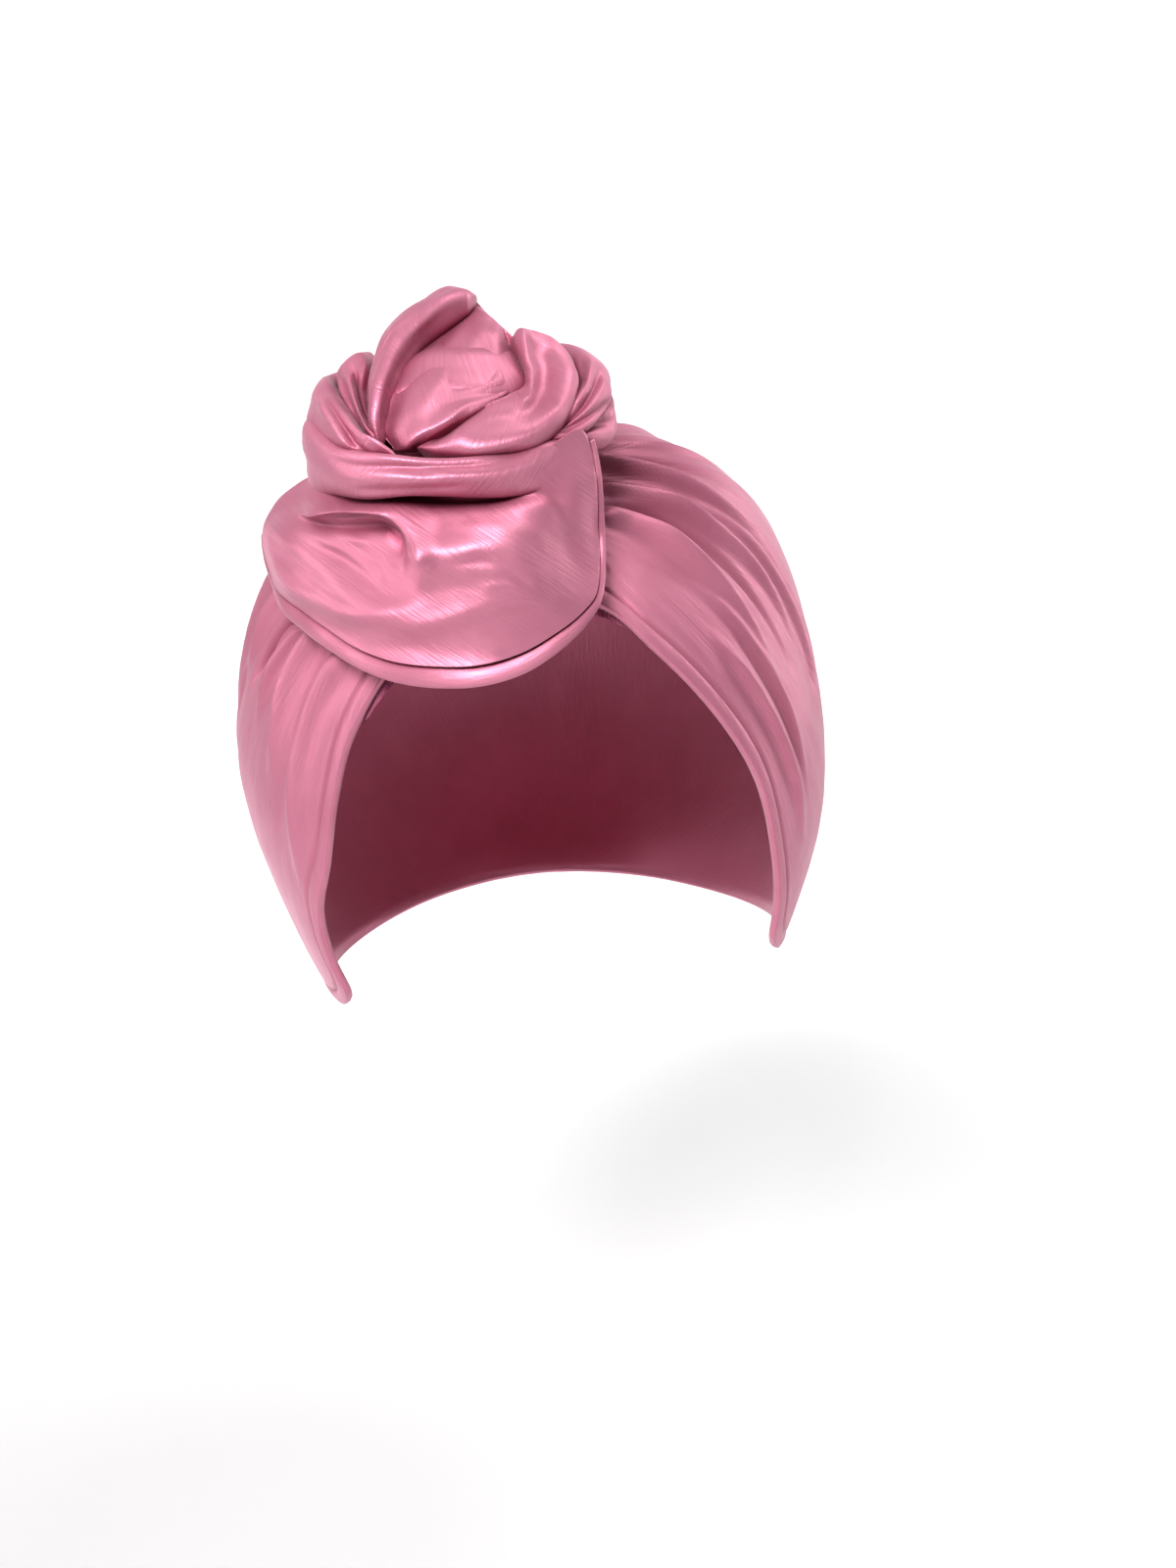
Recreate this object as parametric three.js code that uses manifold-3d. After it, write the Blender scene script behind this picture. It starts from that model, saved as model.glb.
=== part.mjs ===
// A pre-tied turban headwrap of doubled satin: a close cap with gathers fanning out of a twisted knot,
// a knitted band inside the forehead edge, and the rounded, seamed end of the wrap hanging over the brow.
// Millimetres, +Z up, the face towards -Y. The origin is where the crown of the head bears on the cap.
import * as THREE from "three";
import { mergeVertices } from "three/addons/utils/BufferGeometryUtils.js";
import Module from "manifold-3d";

// The head that the cap fits, as a half-length for each axis, and its middle below the origin.
const HEAD_HALF = new THREE.Vector3(77, 99, 92);
const HEAD_MIDDLE = new THREE.Vector3(0, 8, -92);
const CAP_WALL = 2;
const FLAP_WALL = 2.6;
const EDGE_HALF = 1.5;
const BAND_WALL = 1.2;
const GAP = 0.3;
const DEGREES = Math.PI / 180;

// The knot's folds turn about this point, which is the inside of the twist.
const KNOT_MIDDLE = new THREE.Vector3(-13, -56, -6);

// Rows of numbers under named columns.
const table = (columns, rows) =>
  rows.map((row) =>
    Object.fromEntries(columns.map((name, i) => [name, row[i]])),
  );

// The cap's rim, from the middle of the brow round by the wearer's left cheek and the nape and back.
const CAP_RIM = table(
  ["azimuth", "elevation"],
  [
    [-8, 34],
    [12, 30.5],
    [21.5, 22.5],
    [31, 12],
    [38.5, 1],
    [43, -11],
    [47, -21],
    [50, -28],
    [58, -32],
    [75, -34],
    [100, -36],
    [135, -38],
    [180, -39],
    [225, -38],
    [262, -37],
    [285, -36],
    [299, -34],
    [306, -30],
    [307, -23],
    [310, -14],
    [316, -5],
    [320, 5],
    [324, 14],
    [331, 23],
    [341, 30],
  ],
);

// The direction of the cap's far side, from which its wall is drawn down to the rim.
const CAP_POLE = { azimuth: 180, elevation: 48 };

// The band inside the brow: its lower edge, which shows past the cap's rim, and its upper edge.
const BAND_COLUMNS = ["azimuth", "low", "high"];
const BAND_INSET = 1.1;
const BAND = table(BAND_COLUMNS, [
  [-38, 14, 24],
  [-34, 14.6, 30],
  [-29, 20.8, 34],
  [-24, 24.8, 37],
  [-19, 28, 40],
  [-8, 31, 43],
  [4, 31, 43],
  [12, 28.6, 41],
  [17, 25.2, 38],
  [21.5, 22.4, 35],
  [26, 20.5, 30],
]);

// Where the cap stands out from the head form, or tucks in, and how widely.
const CAP_BULGES = table(
  ["azimuth", "elevation", "lift", "spread"],
  [
    [72, 48, 5.5, 20],
    [95, 30, 3, 18],
    [-75, -20, -4, 18],
    [75, -28, -2, 16],
    [180, -42, -12, 26],
    [140, -42, -8, 26],
    [-140, -42, -8, 26],
    [-100, 44, 2.5, 22],
    [180, 30, 2, 40],
  ],
);

// The cap's gathers. Each runs from the knot outwards, wide millimetres broad and high millimetres proud.
const GATHERS = table(
  ["azimuth0", "elevation0", "azimuth1", "elevation1", "azimuth2", "elevation2", "wide", "high"],
  [
    [24, 61, 46, 57, 74, 46, 4.6, 2.8],
    [26, 55, 44, 50, 66, 36, 4.2, 2.6],
    [27, 49, 42, 45, 53, 31, 4.2, 2.4],
    [24, 44, 33, 39, 42, 26, 4.6, 1.5],
    [34, 38, 42, 30, 46, 14, 5, 1.4],
    [40, 10, 47, 2, 53, -10, 4.2, 1.3],
    [30, 68, 60, 66, 100, 52, 5, 2.4],
    [20, 76, 75, 82, 135, 64, 5.5, 2.2],
    [-55, 34, -64, 24, -72, 8, 4.4, 2.4],
    [-46, 30, -55, 22, -62, 6, 4, 2],
    [-38, 26, -50, 14, -54, -2, 4.6, 1.5],
    [-62, 44, -80, 30, -92, 12, 4.6, 2.4],
    [-70, 56, -95, 44, -118, 26, 5, 2.2],
    [-60, 66, -110, 58, -140, 40, 5.5, 2],
  ],
);

// The seam round the wrap's hanging end as seen from the front, clockwise from the top of its right side, and the
// width of the seamed edge outside it. The top of the outline is hidden inside the knot.
const FLAP_SEAM = table(
  ["x", "z", "edge"],
  [
    [15.6, -8, 2],
    [16.2, -15, 2.3],
    [16, -25, 2.4],
    [15.2, -34, 2.4],
    [13.5, -40.5, 2.6],
    [10, -44.3, 3],
    [3.6, -48, 3.8],
    [-5.2, -51.6, 4.4],
    [-14.7, -53.2, 4.6],
    [-23.8, -52.8, 4.8],
    [-31.9, -51.6, 4.8],
    [-38, -49.6, 4.8],
    [-43.5, -46.8, 4.8],
    [-49, -43, 5],
    [-54, -38.8, 5.2],
    [-58, -34, 5],
    [-60, -29, 4],
    [-60.2, -24, 3],
  ],
);
const FLAP_TOP = table(
  ["x", "z"],
  [
    [-58.5, -18.5],
    [-56, -13.5],
    [-51, -9.5],
    [-46, -9.5],
    [-40, -12],
    [-28, -12.5],
    [-14, -14.5],
    [-4, -13.5],
    [3, -10],
    [9, -6.8],
    [13.5, -5],
  ],
);
const FLAP_MIDDLE = { x: -20, z: -31 };

// How far the outline's nearest stretch is from its middle.
const FLAP_NARROWEST = 15;

// How the hanging end curves round the brow: its foremost line, its bend to each side of that and where the bend
// stops, and how much further back it lies for each millimetre above its foot.
const FLAP_FORM = { x: -8, front: -95, bend: 68, reach: 54, most: 0.985, foot: -58, lean: 0.125 };

// How far the top of the hanging end tucks in under the roll above, from a height up, and where that fades out.
const FLAP_TUCK_IN = { depth: 7, from: -18, rise: 8, end: 6, fade: 10 };

// The hanging end's tucks over (x, z), from a start by way of a middle to an end. Left and right are the widths
// of a tuck's two flanks, and a valley's height is less than nothing.
const TUCKS = table(
  ["x0", "z0", "x1", "z1", "x2", "z2", "left", "right", "high"],
  [
    [-58, -18.5, -38, -16.6, -25, -21, 3.6, 2.2, 4.4],
    [-26, -20, -23.6, -27, -26, -36, 3.4, 3.4, 2.6],
    [-58, -14.8, -34, -13.8, 0, -19.6, 2.6, 2.8, -3],
    [9, -8, 7, -24, 14, -42, 3.4, 7, -5],
    [-28, -35, -12, -27.6, 6, -42, 4.5, 4.5, 2.6],
    [-38, -41, -18, -41.6, 6, -43, 4, 5, 2.4],
    [-59, -19, -50, -32, -30, -42, 4.5, 3.4, 2.6],
    [-56, -40, -30, -49.5, 6, -46, 5, 3, -2.2],
  ],
);

// The twisted knot's folds. Each row is a section: where its two edges are, how far its face swells out between
// them and how far its back reaches into the knot. Folds higher in this list lie over those lower in it.
const SECTION = ["x0", "y0", "z0", "x1", "y1", "z1", "face", "back"];
const FOLDS = {
  front_wrap: table(SECTION, [
    [-32, -36, 4, -36, -33, -12, 4, 8],
    [-40, -50, 2, -45, -49, -14.5, 4, 10],
    [-41, -66, 0, -43, -70, -15, 5, 10],
    [-35.5, -80, -5, -36, -83, -15.5, 5, 10],
    [-25, -88, -7, -27, -90, -16.5, 5, 10],
    [-12, -89, -8.5, -12, -91.5, -18.3, 4.6, 10],
    [-3, -88, -8.4, -3, -90, -19.2, 3.8, 9],
    [5, -83.5, -7.4, 5, -85, -17.5, 2.2, 7],
    [11, -77, -7, 11, -78, -13, 0.8, 4],
  ]),
  right_turn: table(SECTION, [
    [-23, -84, -4.2, -22, -86, -6.6, 1, 4],
    [-16, -83, -2.2, -14, -89, -8.6, 2.6, 8],
    [-8, -82, 1.4, -5, -89, -9, 3.2, 9],
    [-1, -79, 3.6, 5, -86, -7.5, 3.4, 9],
    [3, -75, 5, 12, -79, -3, 3.4, 9],
    [4, -71, 9, 15, -72, 4, 3.4, 8],
    [3, -67, 13.5, 14, -65, 10, 3.2, 7],
    [4, -63, 17.5, 10, -60, 14.5, 2.2, 5],
  ]),
  leaf_hood: table(SECTION, [
    [-31, -82, -5, -29.5, -83, -4.5, 1, 2],
    [-32, -77, 3, -29, -80, 4, 2, 4],
    [-30, -69, 11, -26, -76, 11, 3, 5],
    [-26, -61, 19, -22, -71, 17, 3.5, 6],
    [-19, -55, 26, -16, -67, 20, 4, 6],
    [-11, -51, 29, -10, -64, 23, 3.5, 5],
    [-4, -52, 27, -5, -60, 25.5, 1.5, 3],
  ]),
  left_turn: table(SECTION, [
    [-24, -34, 12, -32, -36, 4, 3, 7],
    [-35, -48, 15, -43, -50, 2, 4, 9],
    [-41, -60, 12, -45, -64, 0, 3, 9],
    [-38, -73, 5, -41, -77, -3.5, 3, 8],
    [-33, -83, -2, -34, -85, -6, 2.5, 5],
    [-27, -88, -6, -27, -89, -7.5, 1, 2],
  ]),
  left_pleat: table(SECTION, [
    [-28, -48, 17, -35, -48, 13, 2, 7],
    [-31, -57, 15, -38, -59, 10, 2.5, 8],
    [-32.5, -68, 7, -36.5, -70, 4, 2, 7],
    [-31.5, -77, 0, -33, -79, -2, 1.5, 4],
    [-30, -82, -4, -30.5, -83, -5.5, 1, 2],
  ]),
  centre_leaf: table(SECTION, [
    [-28.5, -82, -5, -26, -84, -6.2, 1, 4],
    [-31, -76, 3, -20, -86, -4, 2, 10],
    [-30, -70, 10, -10.5, -84.5, 0, 2.8, 14],
    [-26, -62, 17, -1, -77.5, 3.4, 3.6, 16],
    [-19, -56, 22, 4.4, -71, 8, 4, 16],
    [-11, -52, 26, 3, -63, 15, 3.6, 12],
    [-6, -52, 27.5, -2, -57, 22, 2, 6],
  ]),
  right_wrap: table(SECTION, [
    [6, -84, -6, 8, -84, -8, 1, 3],
    [12, -78, -1, 16, -78, -6, 3, 7],
    [15, -70, 5, 21, -69, -1, 4, 9],
    [14.5, -61, 11, 22.5, -59, 4, 3.5, 9],
    [10, -51, 13, 19, -47, 7, 3.5, 9],
    [3, -41, 11, 12, -36, 6, 3, 8],
  ]),
  right_under_wrap: table(SECTION, [
    [9, -83, -7, 10, -83, -9, 1, 3],
    [15, -76, -4, 16, -76, -10, 2.5, 7],
    [20, -67, 1, 21, -67, -9, 3, 9],
    [21, -56, 4, 22, -55, -8, 3, 9],
    [18, -45, 5, 20, -43, -7, 3, 9],
    [12, -35, 5, 14, -33, -5, 3, 8],
  ]),
  back_wrap: table(SECTION, [
    [-35, -44, 12, -36, -38, -4, 2, 7],
    [-25, -34, 16, -28, -26, -3, 4, 10],
    [-12, -29, 17, -12, -20, -2, 5, 12],
    [2, -33, 15, 4, -25, -3, 4, 10],
    [10, -42, 12, 15, -37, -4, 2, 7],
  ]),
};
const CORE_MIDDLE = new THREE.Vector3(-13, -56, 0);
const CORE_HALF = new THREE.Vector3(24, 25, 18);

// How finely each form is cut into faces.
const CAP_FACES = { around: 76, down: 17, inside: 10 };
const FLAP_FACES = { around: 44, out: 9, under: 3 };
const EDGE_FACES = { along: 32, around: 8 };
const FOLD_FACES = { along: 12, around: 10 };

// A smooth curve through one column of a table, at t from 0 to 1.
function smooth(rows, column, t, closed = false) {
  const spans = closed ? rows.length : rows.length - 1;
  const at = t * spans;
  const i = Math.min(Math.floor(at), spans - 1);
  const u = at - i;
  const value = (k) => {
    if (closed) return rows[(k + rows.length) % rows.length][column];
    if (k < 0) return 2 * rows[0][column] - rows[1][column];
    const last = rows.length - 1;
    if (k > last) return 2 * rows[last][column] - rows[last - 1][column];
    return rows[k][column];
  };
  const [a, b, c, d] = [value(i - 1), value(i), value(i + 1), value(i + 2)];
  return (
    b + 0.5 * u * (c - a + u * (2 * a - 5 * b + 4 * c - d + u * (3 * (b - c) + d - a)))
  );
}

// The direction at an azimuth from the face and an elevation, and the head form's point and normal along it.
function direction({ azimuth, elevation }) {
  const a = azimuth * DEGREES;
  const e = elevation * DEGREES;
  return new THREE.Vector3(
    Math.sin(a) * Math.cos(e),
    -Math.cos(a) * Math.cos(e),
    Math.sin(e),
  );
}
function formPoint(dir, lift) {
  return dir.clone().multiply(HEAD_HALF.clone().addScalar(lift)).add(HEAD_MIDDLE);
}
function formNormal(dir) {
  return dir.clone().divide(HEAD_HALF).normalize();
}

// A curve from a fold's start by way of its middle to its end, from a function that gives each of the three.
function ridgeOf(pointAt, finish = (point) => point) {
  const ends = [0, 1, 2].map(pointAt);
  const steps = 12;
  return Array.from({ length: steps + 1 }, (_, i) => {
    const t = i / steps;
    const point = ends[0]
      .clone()
      .multiplyScalar((1 - t) * (1 - 2 * t))
      .addScaledVector(ends[1], 4 * t * (1 - t))
      .addScaledVector(ends[2], t * (2 * t - 1));
    return finish(point);
  });
}
const gatherRidge = (fold) =>
  ridgeOf(
    (k) => direction({ azimuth: fold["azimuth" + k], elevation: fold["elevation" + k] }),
    (dir) => formPoint(dir.normalize(), 0),
  );
const tuckRidge = (fold) => ridgeOf((k) => new THREE.Vector3(fold["x" + k], 0, fold["z" + k]));

// How far a fold lifts a point: a rounded ridge that fades at both ends, with a width for each of its sides.
function liftBy(point, normal, ridge, fold) {
  let best = { distance: Infinity };
  for (let i = 0; i + 1 < ridge.length; i++) {
    const run = ridge[i + 1].clone().sub(ridge[i]);
    const to = point.clone().sub(ridge[i]);
    const t = THREE.MathUtils.clamp(to.dot(run) / run.lengthSq(), 0, 1);
    const off = to.addScaledVector(run, -t);
    const distance = off.length();
    if (distance < best.distance)
      best = {
        distance,
        left: off.dot(normal.clone().cross(run)) > 0,
        at: (i + t) / (ridge.length - 1),
      };
  }
  const wide = fold.wide ?? (best.left ? fold.left : fold.right);
  const fade = Math.min(1, 3.5 * Math.min(best.at + 0.12, 1 - best.at));
  return fold.high * fade * Math.exp(-((best.distance / wide) ** 2));
}

const centreOf = (points) =>
  points.reduce((sum, point) => sum.add(point), new THREE.Vector3()).divideScalar(points.length);

// A mesh of rows of points, each a closed ring, with a point that closes each end, turned to face outwards.
function ringGeometry(rings, startPoint, endPoint) {
  const count = rings[0].length;
  const points = rings.flat();
  const faces = [];
  for (let r = 0; r + 1 < rings.length; r++)
    for (let k = 0; k < count; k++) {
      const [a, b] = [r * count + k, r * count + ((k + 1) % count)];
      faces.push(a, b, a + count, b, b + count, a + count);
    }
  const close = (point, ring, turned) => {
    const tip = points.push(point) - 1;
    for (let k = 0; k < count; k++) {
      const [a, b] = [ring * count + k, ring * count + ((k + 1) % count)];
      faces.push(tip, ...(turned ? [b, a] : [a, b]));
    }
  };
  close(startPoint, 0, true);
  close(endPoint, rings.length - 1, false);
  let volume = 0;
  for (let i = 0; i < faces.length; i += 3) {
    const [a, b, c] = [points[faces[i]], points[faces[i + 1]], points[faces[i + 2]]];
    volume += a.dot(b.clone().cross(c));
  }
  const geometry = new THREE.BufferGeometry().setFromPoints(points);
  geometry.setIndex(volume < 0 ? faces.reverse() : faces);
  return geometry;
}

// The cap's wall: an outer sheet with the gathers and an inner one, joined round the rim.
function capLift(dir, ridges) {
  const point = formPoint(dir, 0);
  const normal = formNormal(dir);
  let lift = CAP_WALL;
  for (const bulge of CAP_BULGES) {
    const angle = dir.angleTo(direction(bulge)) / DEGREES;
    lift += bulge.lift * Math.exp(-((angle / bulge.spread) ** 2));
  }
  let gathered = 0;
  GATHERS.forEach((fold, i) => {
    gathered += liftBy(point, normal, ridges[i], fold);
  });
  return { lift, gathered };
}
function capDirection(rimDir, down) {
  const pole = direction(CAP_POLE);
  const turn = new THREE.Quaternion().setFromUnitVectors(pole, rimDir);
  return pole.applyQuaternion(new THREE.Quaternion().slerp(turn, down));
}
// Faces crowd where the gathers are, on both sides of the brow.
function crowded(u) {
  return u - (0.09 * Math.sin(4 * Math.PI * u - 0.6)) / (2 * Math.PI) - 0.035 * Math.sin(2 * Math.PI * u);
}
function capGeometry() {
  const ridges = GATHERS.map(gatherRidge);
  const { around, down, inside } = CAP_FACES;
  const point = (t, u, inner) => {
    const rimDir = direction({
      azimuth: capAzimuth(u),
      elevation: smooth(CAP_RIM, "elevation", u, true),
    });
    const dir = capDirection(rimDir, t ** 0.85);
    const { lift, gathered } = capLift(dir, ridges);
    return formPoint(dir, inner ? lift - CAP_WALL + 0.3 * gathered : lift + gathered);
  };
  const ring = (t, inner) =>
    Array.from({ length: around }, (_, k) => point(t, crowded(k / around), inner));
  const rings = [];
  for (let r = 1; r <= down; r++) rings.push(ring(r / down, false));
  for (let r = inside; r >= 1; r--) rings.push(ring(r / inside, true));
  return ringGeometry(rings, point(0, 0, false), point(0, 0, true));
}
// The rim's azimuth, which grows all the way round, from a table that starts again at the brow.
function capAzimuth(u) {
  const first = CAP_RIM[0].azimuth;
  const unrolled = [...CAP_RIM, { azimuth: first + 360 }];
  return smooth(unrolled, "azimuth", u);
}

// The knitted band, a strip inside the forehead edge that shows below it near the hanging end.
function bandGeometry() {
  const steps = 26;
  const rings = Array.from({ length: steps + 1 }, (_, i) => {
    const [azimuth, low, high] = BAND_COLUMNS.map((name) => smooth(BAND, name, i / steps));
    const at = (elevation, lift) => formPoint(direction({ azimuth, elevation }), lift);
    return [
      at(low, -BAND_INSET),
      at(high, -BAND_INSET),
      at(high, -BAND_INSET - BAND_WALL),
      at(low, -BAND_INSET - BAND_WALL),
    ];
  });
  return ringGeometry(rings, centreOf(rings[0]), centreOf(rings[steps]));
}

// The hanging end: a doubled cloth whose face carries the tucks, out to its seam.
const flapRing = [...FLAP_SEAM, ...FLAP_TOP];
const flapRidges = TUCKS.map(tuckRidge);
function flapBase(x, z) {
  const { front, bend, reach, most, foot, lean } = FLAP_FORM;
  const t = THREE.MathUtils.clamp((x - FLAP_FORM.x) / reach, -most, most);
  return new THREE.Vector3(x, front + bend * (1 - Math.sqrt(1 - t * t)) + lean * (z - foot), z);
}
function flapTuckIn(x, z) {
  const { depth, from, rise, end, fade } = FLAP_TUCK_IN;
  const up = THREE.MathUtils.clamp((z - from) / rise, 0, 1);
  return depth * up * up * THREE.MathUtils.clamp((end - x) / fade, 0, 1);
}
// The face's point and normal over (x, z).
function flapFace({ x, z }) {
  const point = flapBase(x, z);
  const step = 0.5;
  const dx = flapBase(x + step, z).sub(flapBase(x - step, z));
  const dz = flapBase(x, z + step).sub(flapBase(x, z - step));
  const normal = dx.cross(dz).normalize();
  const flat = new THREE.Vector3(x, 0, z);
  const forward = new THREE.Vector3(0, -1, 0);
  point.addScaledVector(normal, -flapTuckIn(x, z));
  TUCKS.forEach((fold, i) => {
    point.addScaledVector(normal, liftBy(flat, forward, flapRidges[i], fold));
  });
  return { point, normal };
}
function flapSpot(u, out) {
  const [x, z] = ["x", "z"].map((name) => {
    const edge = smooth(flapRing, name, u, true);
    return FLAP_MIDDLE[name] + (edge - FLAP_MIDDLE[name]) * out;
  });
  return { x, z };
}
function flapGeometry(grow = 0) {
  const { around, out, under } = FLAP_FACES;
  const at = (u, t, below) => {
    const { point, normal } = flapFace(flapSpot(u, t));
    return point.addScaledVector(normal, below ? -FLAP_WALL - grow : grow);
  };
  const ring = (t, below) => Array.from({ length: around }, (_, k) => at(k / around, t, below));
  const rings = [];
  for (let r = 1; r <= out; r++) rings.push(ring(r / out, false));
  if (grow) {
    const wider = 1 + grow / FLAP_NARROWEST;
    rings.push(ring(wider, false), ring(wider, true));
  }
  for (let r = under; r >= 1; r--) rings.push(ring(r / under, true));
  return ringGeometry(rings, at(0, 0, false), at(0, 0, true));
}

// The seamed edge that runs round the hanging end, a flattened roll outside the seam.
function flapEdgeGeometry(grow = 0) {
  const { along: steps, around: sides } = EDGE_FACES;
  const last = (FLAP_SEAM.length - 1) / flapRing.length;
  const middle = flapFace(FLAP_MIDDLE).point;
  const rings = Array.from({ length: steps + 1 }, (_, i) => {
    const t = i / steps;
    const { point: seam, normal } = flapFace(flapSpot(t * last, 1));
    const next = flapFace(flapSpot(t * last + 0.004, 1)).point;
    const half = smooth(FLAP_SEAM, "edge", t) / 2;
    const outward = next.sub(seam).cross(normal).normalize();
    if (outward.dot(middle.clone().sub(seam)) > 0) outward.negate();
    const base = seam.addScaledVector(normal, -EDGE_HALF).addScaledVector(outward, half + GAP);
    return Array.from({ length: sides }, (_, k) => {
      const a = (2 * Math.PI * k) / sides;
      return base
        .clone()
        .addScaledVector(outward, (half + grow) * Math.cos(a))
        .addScaledVector(normal, (EDGE_HALF + grow) * Math.sin(a));
    });
  });
  return ringGeometry(rings, centreOf(rings[0]), centreOf(rings[steps]));
}

// One fold of the knot, lofted through its sections, with rounded ends. Grow makes it larger all round.
function foldGeometry(rows, grow = 0) {
  const { along, around } = FOLD_FACES;
  const edge = (t, k) =>
    new THREE.Vector3(...["x", "y", "z"].map((axis) => smooth(rows, axis + k, t)));
  const middleAt = (t) => edge(t, 0).add(edge(t, 1)).multiplyScalar(0.5);
  const rings = [];
  for (let i = 0; i <= along; i++) {
    const t = 0.5 - 0.5 * Math.cos((Math.PI * (i + 0.7)) / (along + 1.4));
    const middle = middleAt(t);
    const run = middleAt(Math.min(t + 0.01, 1)).sub(middleAt(Math.max(t - 0.01, 0)));
    const across = edge(t, 1).sub(edge(t, 0));
    const out = across.clone().cross(run).normalize();
    if (out.dot(middle.clone().sub(KNOT_MIDDLE)) < 0) out.negate();
    const half = across.length() / 2;
    across.normalize();
    const nearest = Math.min(t, 1 - t) * (rows.length - 1);
    const round = Math.sqrt(1 - (1 - Math.min(1, nearest / 0.5)) ** 2);
    rings.push(
      Array.from({ length: around }, (_, k) => {
        const a = (2 * Math.PI * k) / around;
        const deep = smooth(rows, Math.sin(a) > 0 ? "face" : "back", t);
        return middle
          .clone()
          .addScaledVector(across, (half * round + grow) * Math.cos(a))
          .addScaledVector(out, (deep * round + grow) * Math.sin(a));
      }),
    );
  }
  const [head, tail] = [middleAt(0), middleAt(1)];
  const lead = head.clone().sub(middleAt(0.02)).normalize();
  const trail = tail.clone().sub(middleAt(0.98)).normalize();
  return ringGeometry(
    rings,
    head.addScaledVector(lead, grow),
    tail.addScaledVector(trail, grow),
  );
}
function coreGeometry() {
  const geometry = new THREE.SphereGeometry(1, 20, 12);
  geometry.scale(CORE_HALF.x, CORE_HALF.y, CORE_HALF.z);
  geometry.translate(CORE_MIDDLE.x, CORE_MIDDLE.y, CORE_MIDDLE.z);
  return geometry;
}

// Solids: closed meshes joined and cut.
const wasm = await Module();
wasm.setup();
function solidOf(geometry) {
  const bare = geometry.clone();
  bare.deleteAttribute("normal");
  bare.deleteAttribute("uv");
  const merged = mergeVertices(bare, 1e-3);
  const solid = new wasm.Manifold(
    new wasm.Mesh({
      numProp: 3,
      vertProperties: merged.attributes.position.array,
      triVerts: new Uint32Array(merged.index.array),
    }),
  );
  if (solid.volume() < 0) throw new Error("a form is inside out");
  return solid;
}
function geometryOf(solid) {
  const mesh = solid.getMesh();
  const geometry = new THREE.BufferGeometry();
  geometry.setAttribute("position", new THREE.BufferAttribute(mesh.vertProperties, 3));
  geometry.setIndex(new THREE.BufferAttribute(mesh.triVerts, 1));
  return geometry;
}
function largest(solid) {
  return solid.decompose().reduce((a, b) => (a.volume() > b.volume() ? a : b));
}

// The head form up to the cap's outside, filled, which the knot's folds are cut to.
function capFilled() {
  const ridges = GATHERS.map(gatherRidge);
  const sphere = new THREE.SphereGeometry(1, 48, 30);
  sphere.rotateX(Math.PI / 2);
  const position = sphere.attributes.position;
  for (let i = 0; i < position.count; i++) {
    const dir = new THREE.Vector3().fromBufferAttribute(position, i).normalize();
    const { lift, gathered } = capLift(dir, ridges);
    const point = formPoint(dir, lift + gathered + 2 * GAP);
    position.setXYZ(i, point.x, point.y, point.z);
  }
  return solidOf(sphere);
}

const satin = new THREE.MeshStandardMaterial({ color: 0xdb7d9d, roughness: 0.4, metalness: 0 });
const knit = new THREE.MeshStandardMaterial({ color: 0xc4466f, roughness: 0.9, metalness: 0 });

const turban = new THREE.Group();
function add(name, geometry, material = satin) {
  const mesh = new THREE.Mesh(geometry, material);
  mesh.name = name;
  turban.add(mesh);
}

add("crown_cap", capGeometry());
add("forehead_band", bandGeometry(), knit);
add("hanging_end", flapGeometry());
add("end_seam_edge", flapEdgeGeometry());

let taken = capFilled();
taken = taken.add(solidOf(flapGeometry(GAP))).add(solidOf(flapEdgeGeometry(GAP)));
for (const [name, rows] of Object.entries(FOLDS)) {
  const cut = largest(solidOf(foldGeometry(rows)).subtract(taken));
  add(name, geometryOf(cut));
  taken = taken.add(solidOf(foldGeometry(rows, GAP)));
}
add("inner_twist", geometryOf(largest(solidOf(coreGeometry()).subtract(taken))));

export default turban;
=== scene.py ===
"""A pre-tied satin turban in its worn form: cap, brow band, twisted knot and the seamed end over the brow.

Sizes are in millimetres until a mesh is made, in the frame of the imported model: +Z up, the face towards -Y.
"""

import bpy
import numpy as np
from mathutils import Matrix


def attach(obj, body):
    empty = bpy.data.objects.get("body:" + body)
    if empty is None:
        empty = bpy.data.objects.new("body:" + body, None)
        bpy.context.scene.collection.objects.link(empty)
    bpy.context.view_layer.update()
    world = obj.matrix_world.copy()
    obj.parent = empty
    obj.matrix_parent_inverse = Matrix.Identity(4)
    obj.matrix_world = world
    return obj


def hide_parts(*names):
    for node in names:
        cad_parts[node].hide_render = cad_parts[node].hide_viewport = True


MM = 0.001

# The photograph's camera: how it looks at the middle of the hollow, and where that middle is in the picture.
VIEW_AZIMUTH, VIEW_ELEVATION, VIEW_ROLL, VIEW_DISTANCE = -3.0, 10.0, 6.0, 535.0
PICTURE_WIDE, PICTURE_HIGH = 1200, 1600
LENS_PIXELS = 2000.0
MIDDLE_PIXEL = (541.0, 770.0)

# The form of the cap's hollow as half sizes and middle, the cloth's thicknesses and the middle of the knot.
HOLLOW_HALF = np.array([77.0, 99.0, 92.0])
HOLLOW_MIDDLE = np.array([0.0, 8.0, -92.0])
CAP_WALL = 2.0
BAND_WALL = 1.2
BAND_INSET = 0.6
KNOT_MIDDLE = np.array([-13.0, -56.0, -6.0])

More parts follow.
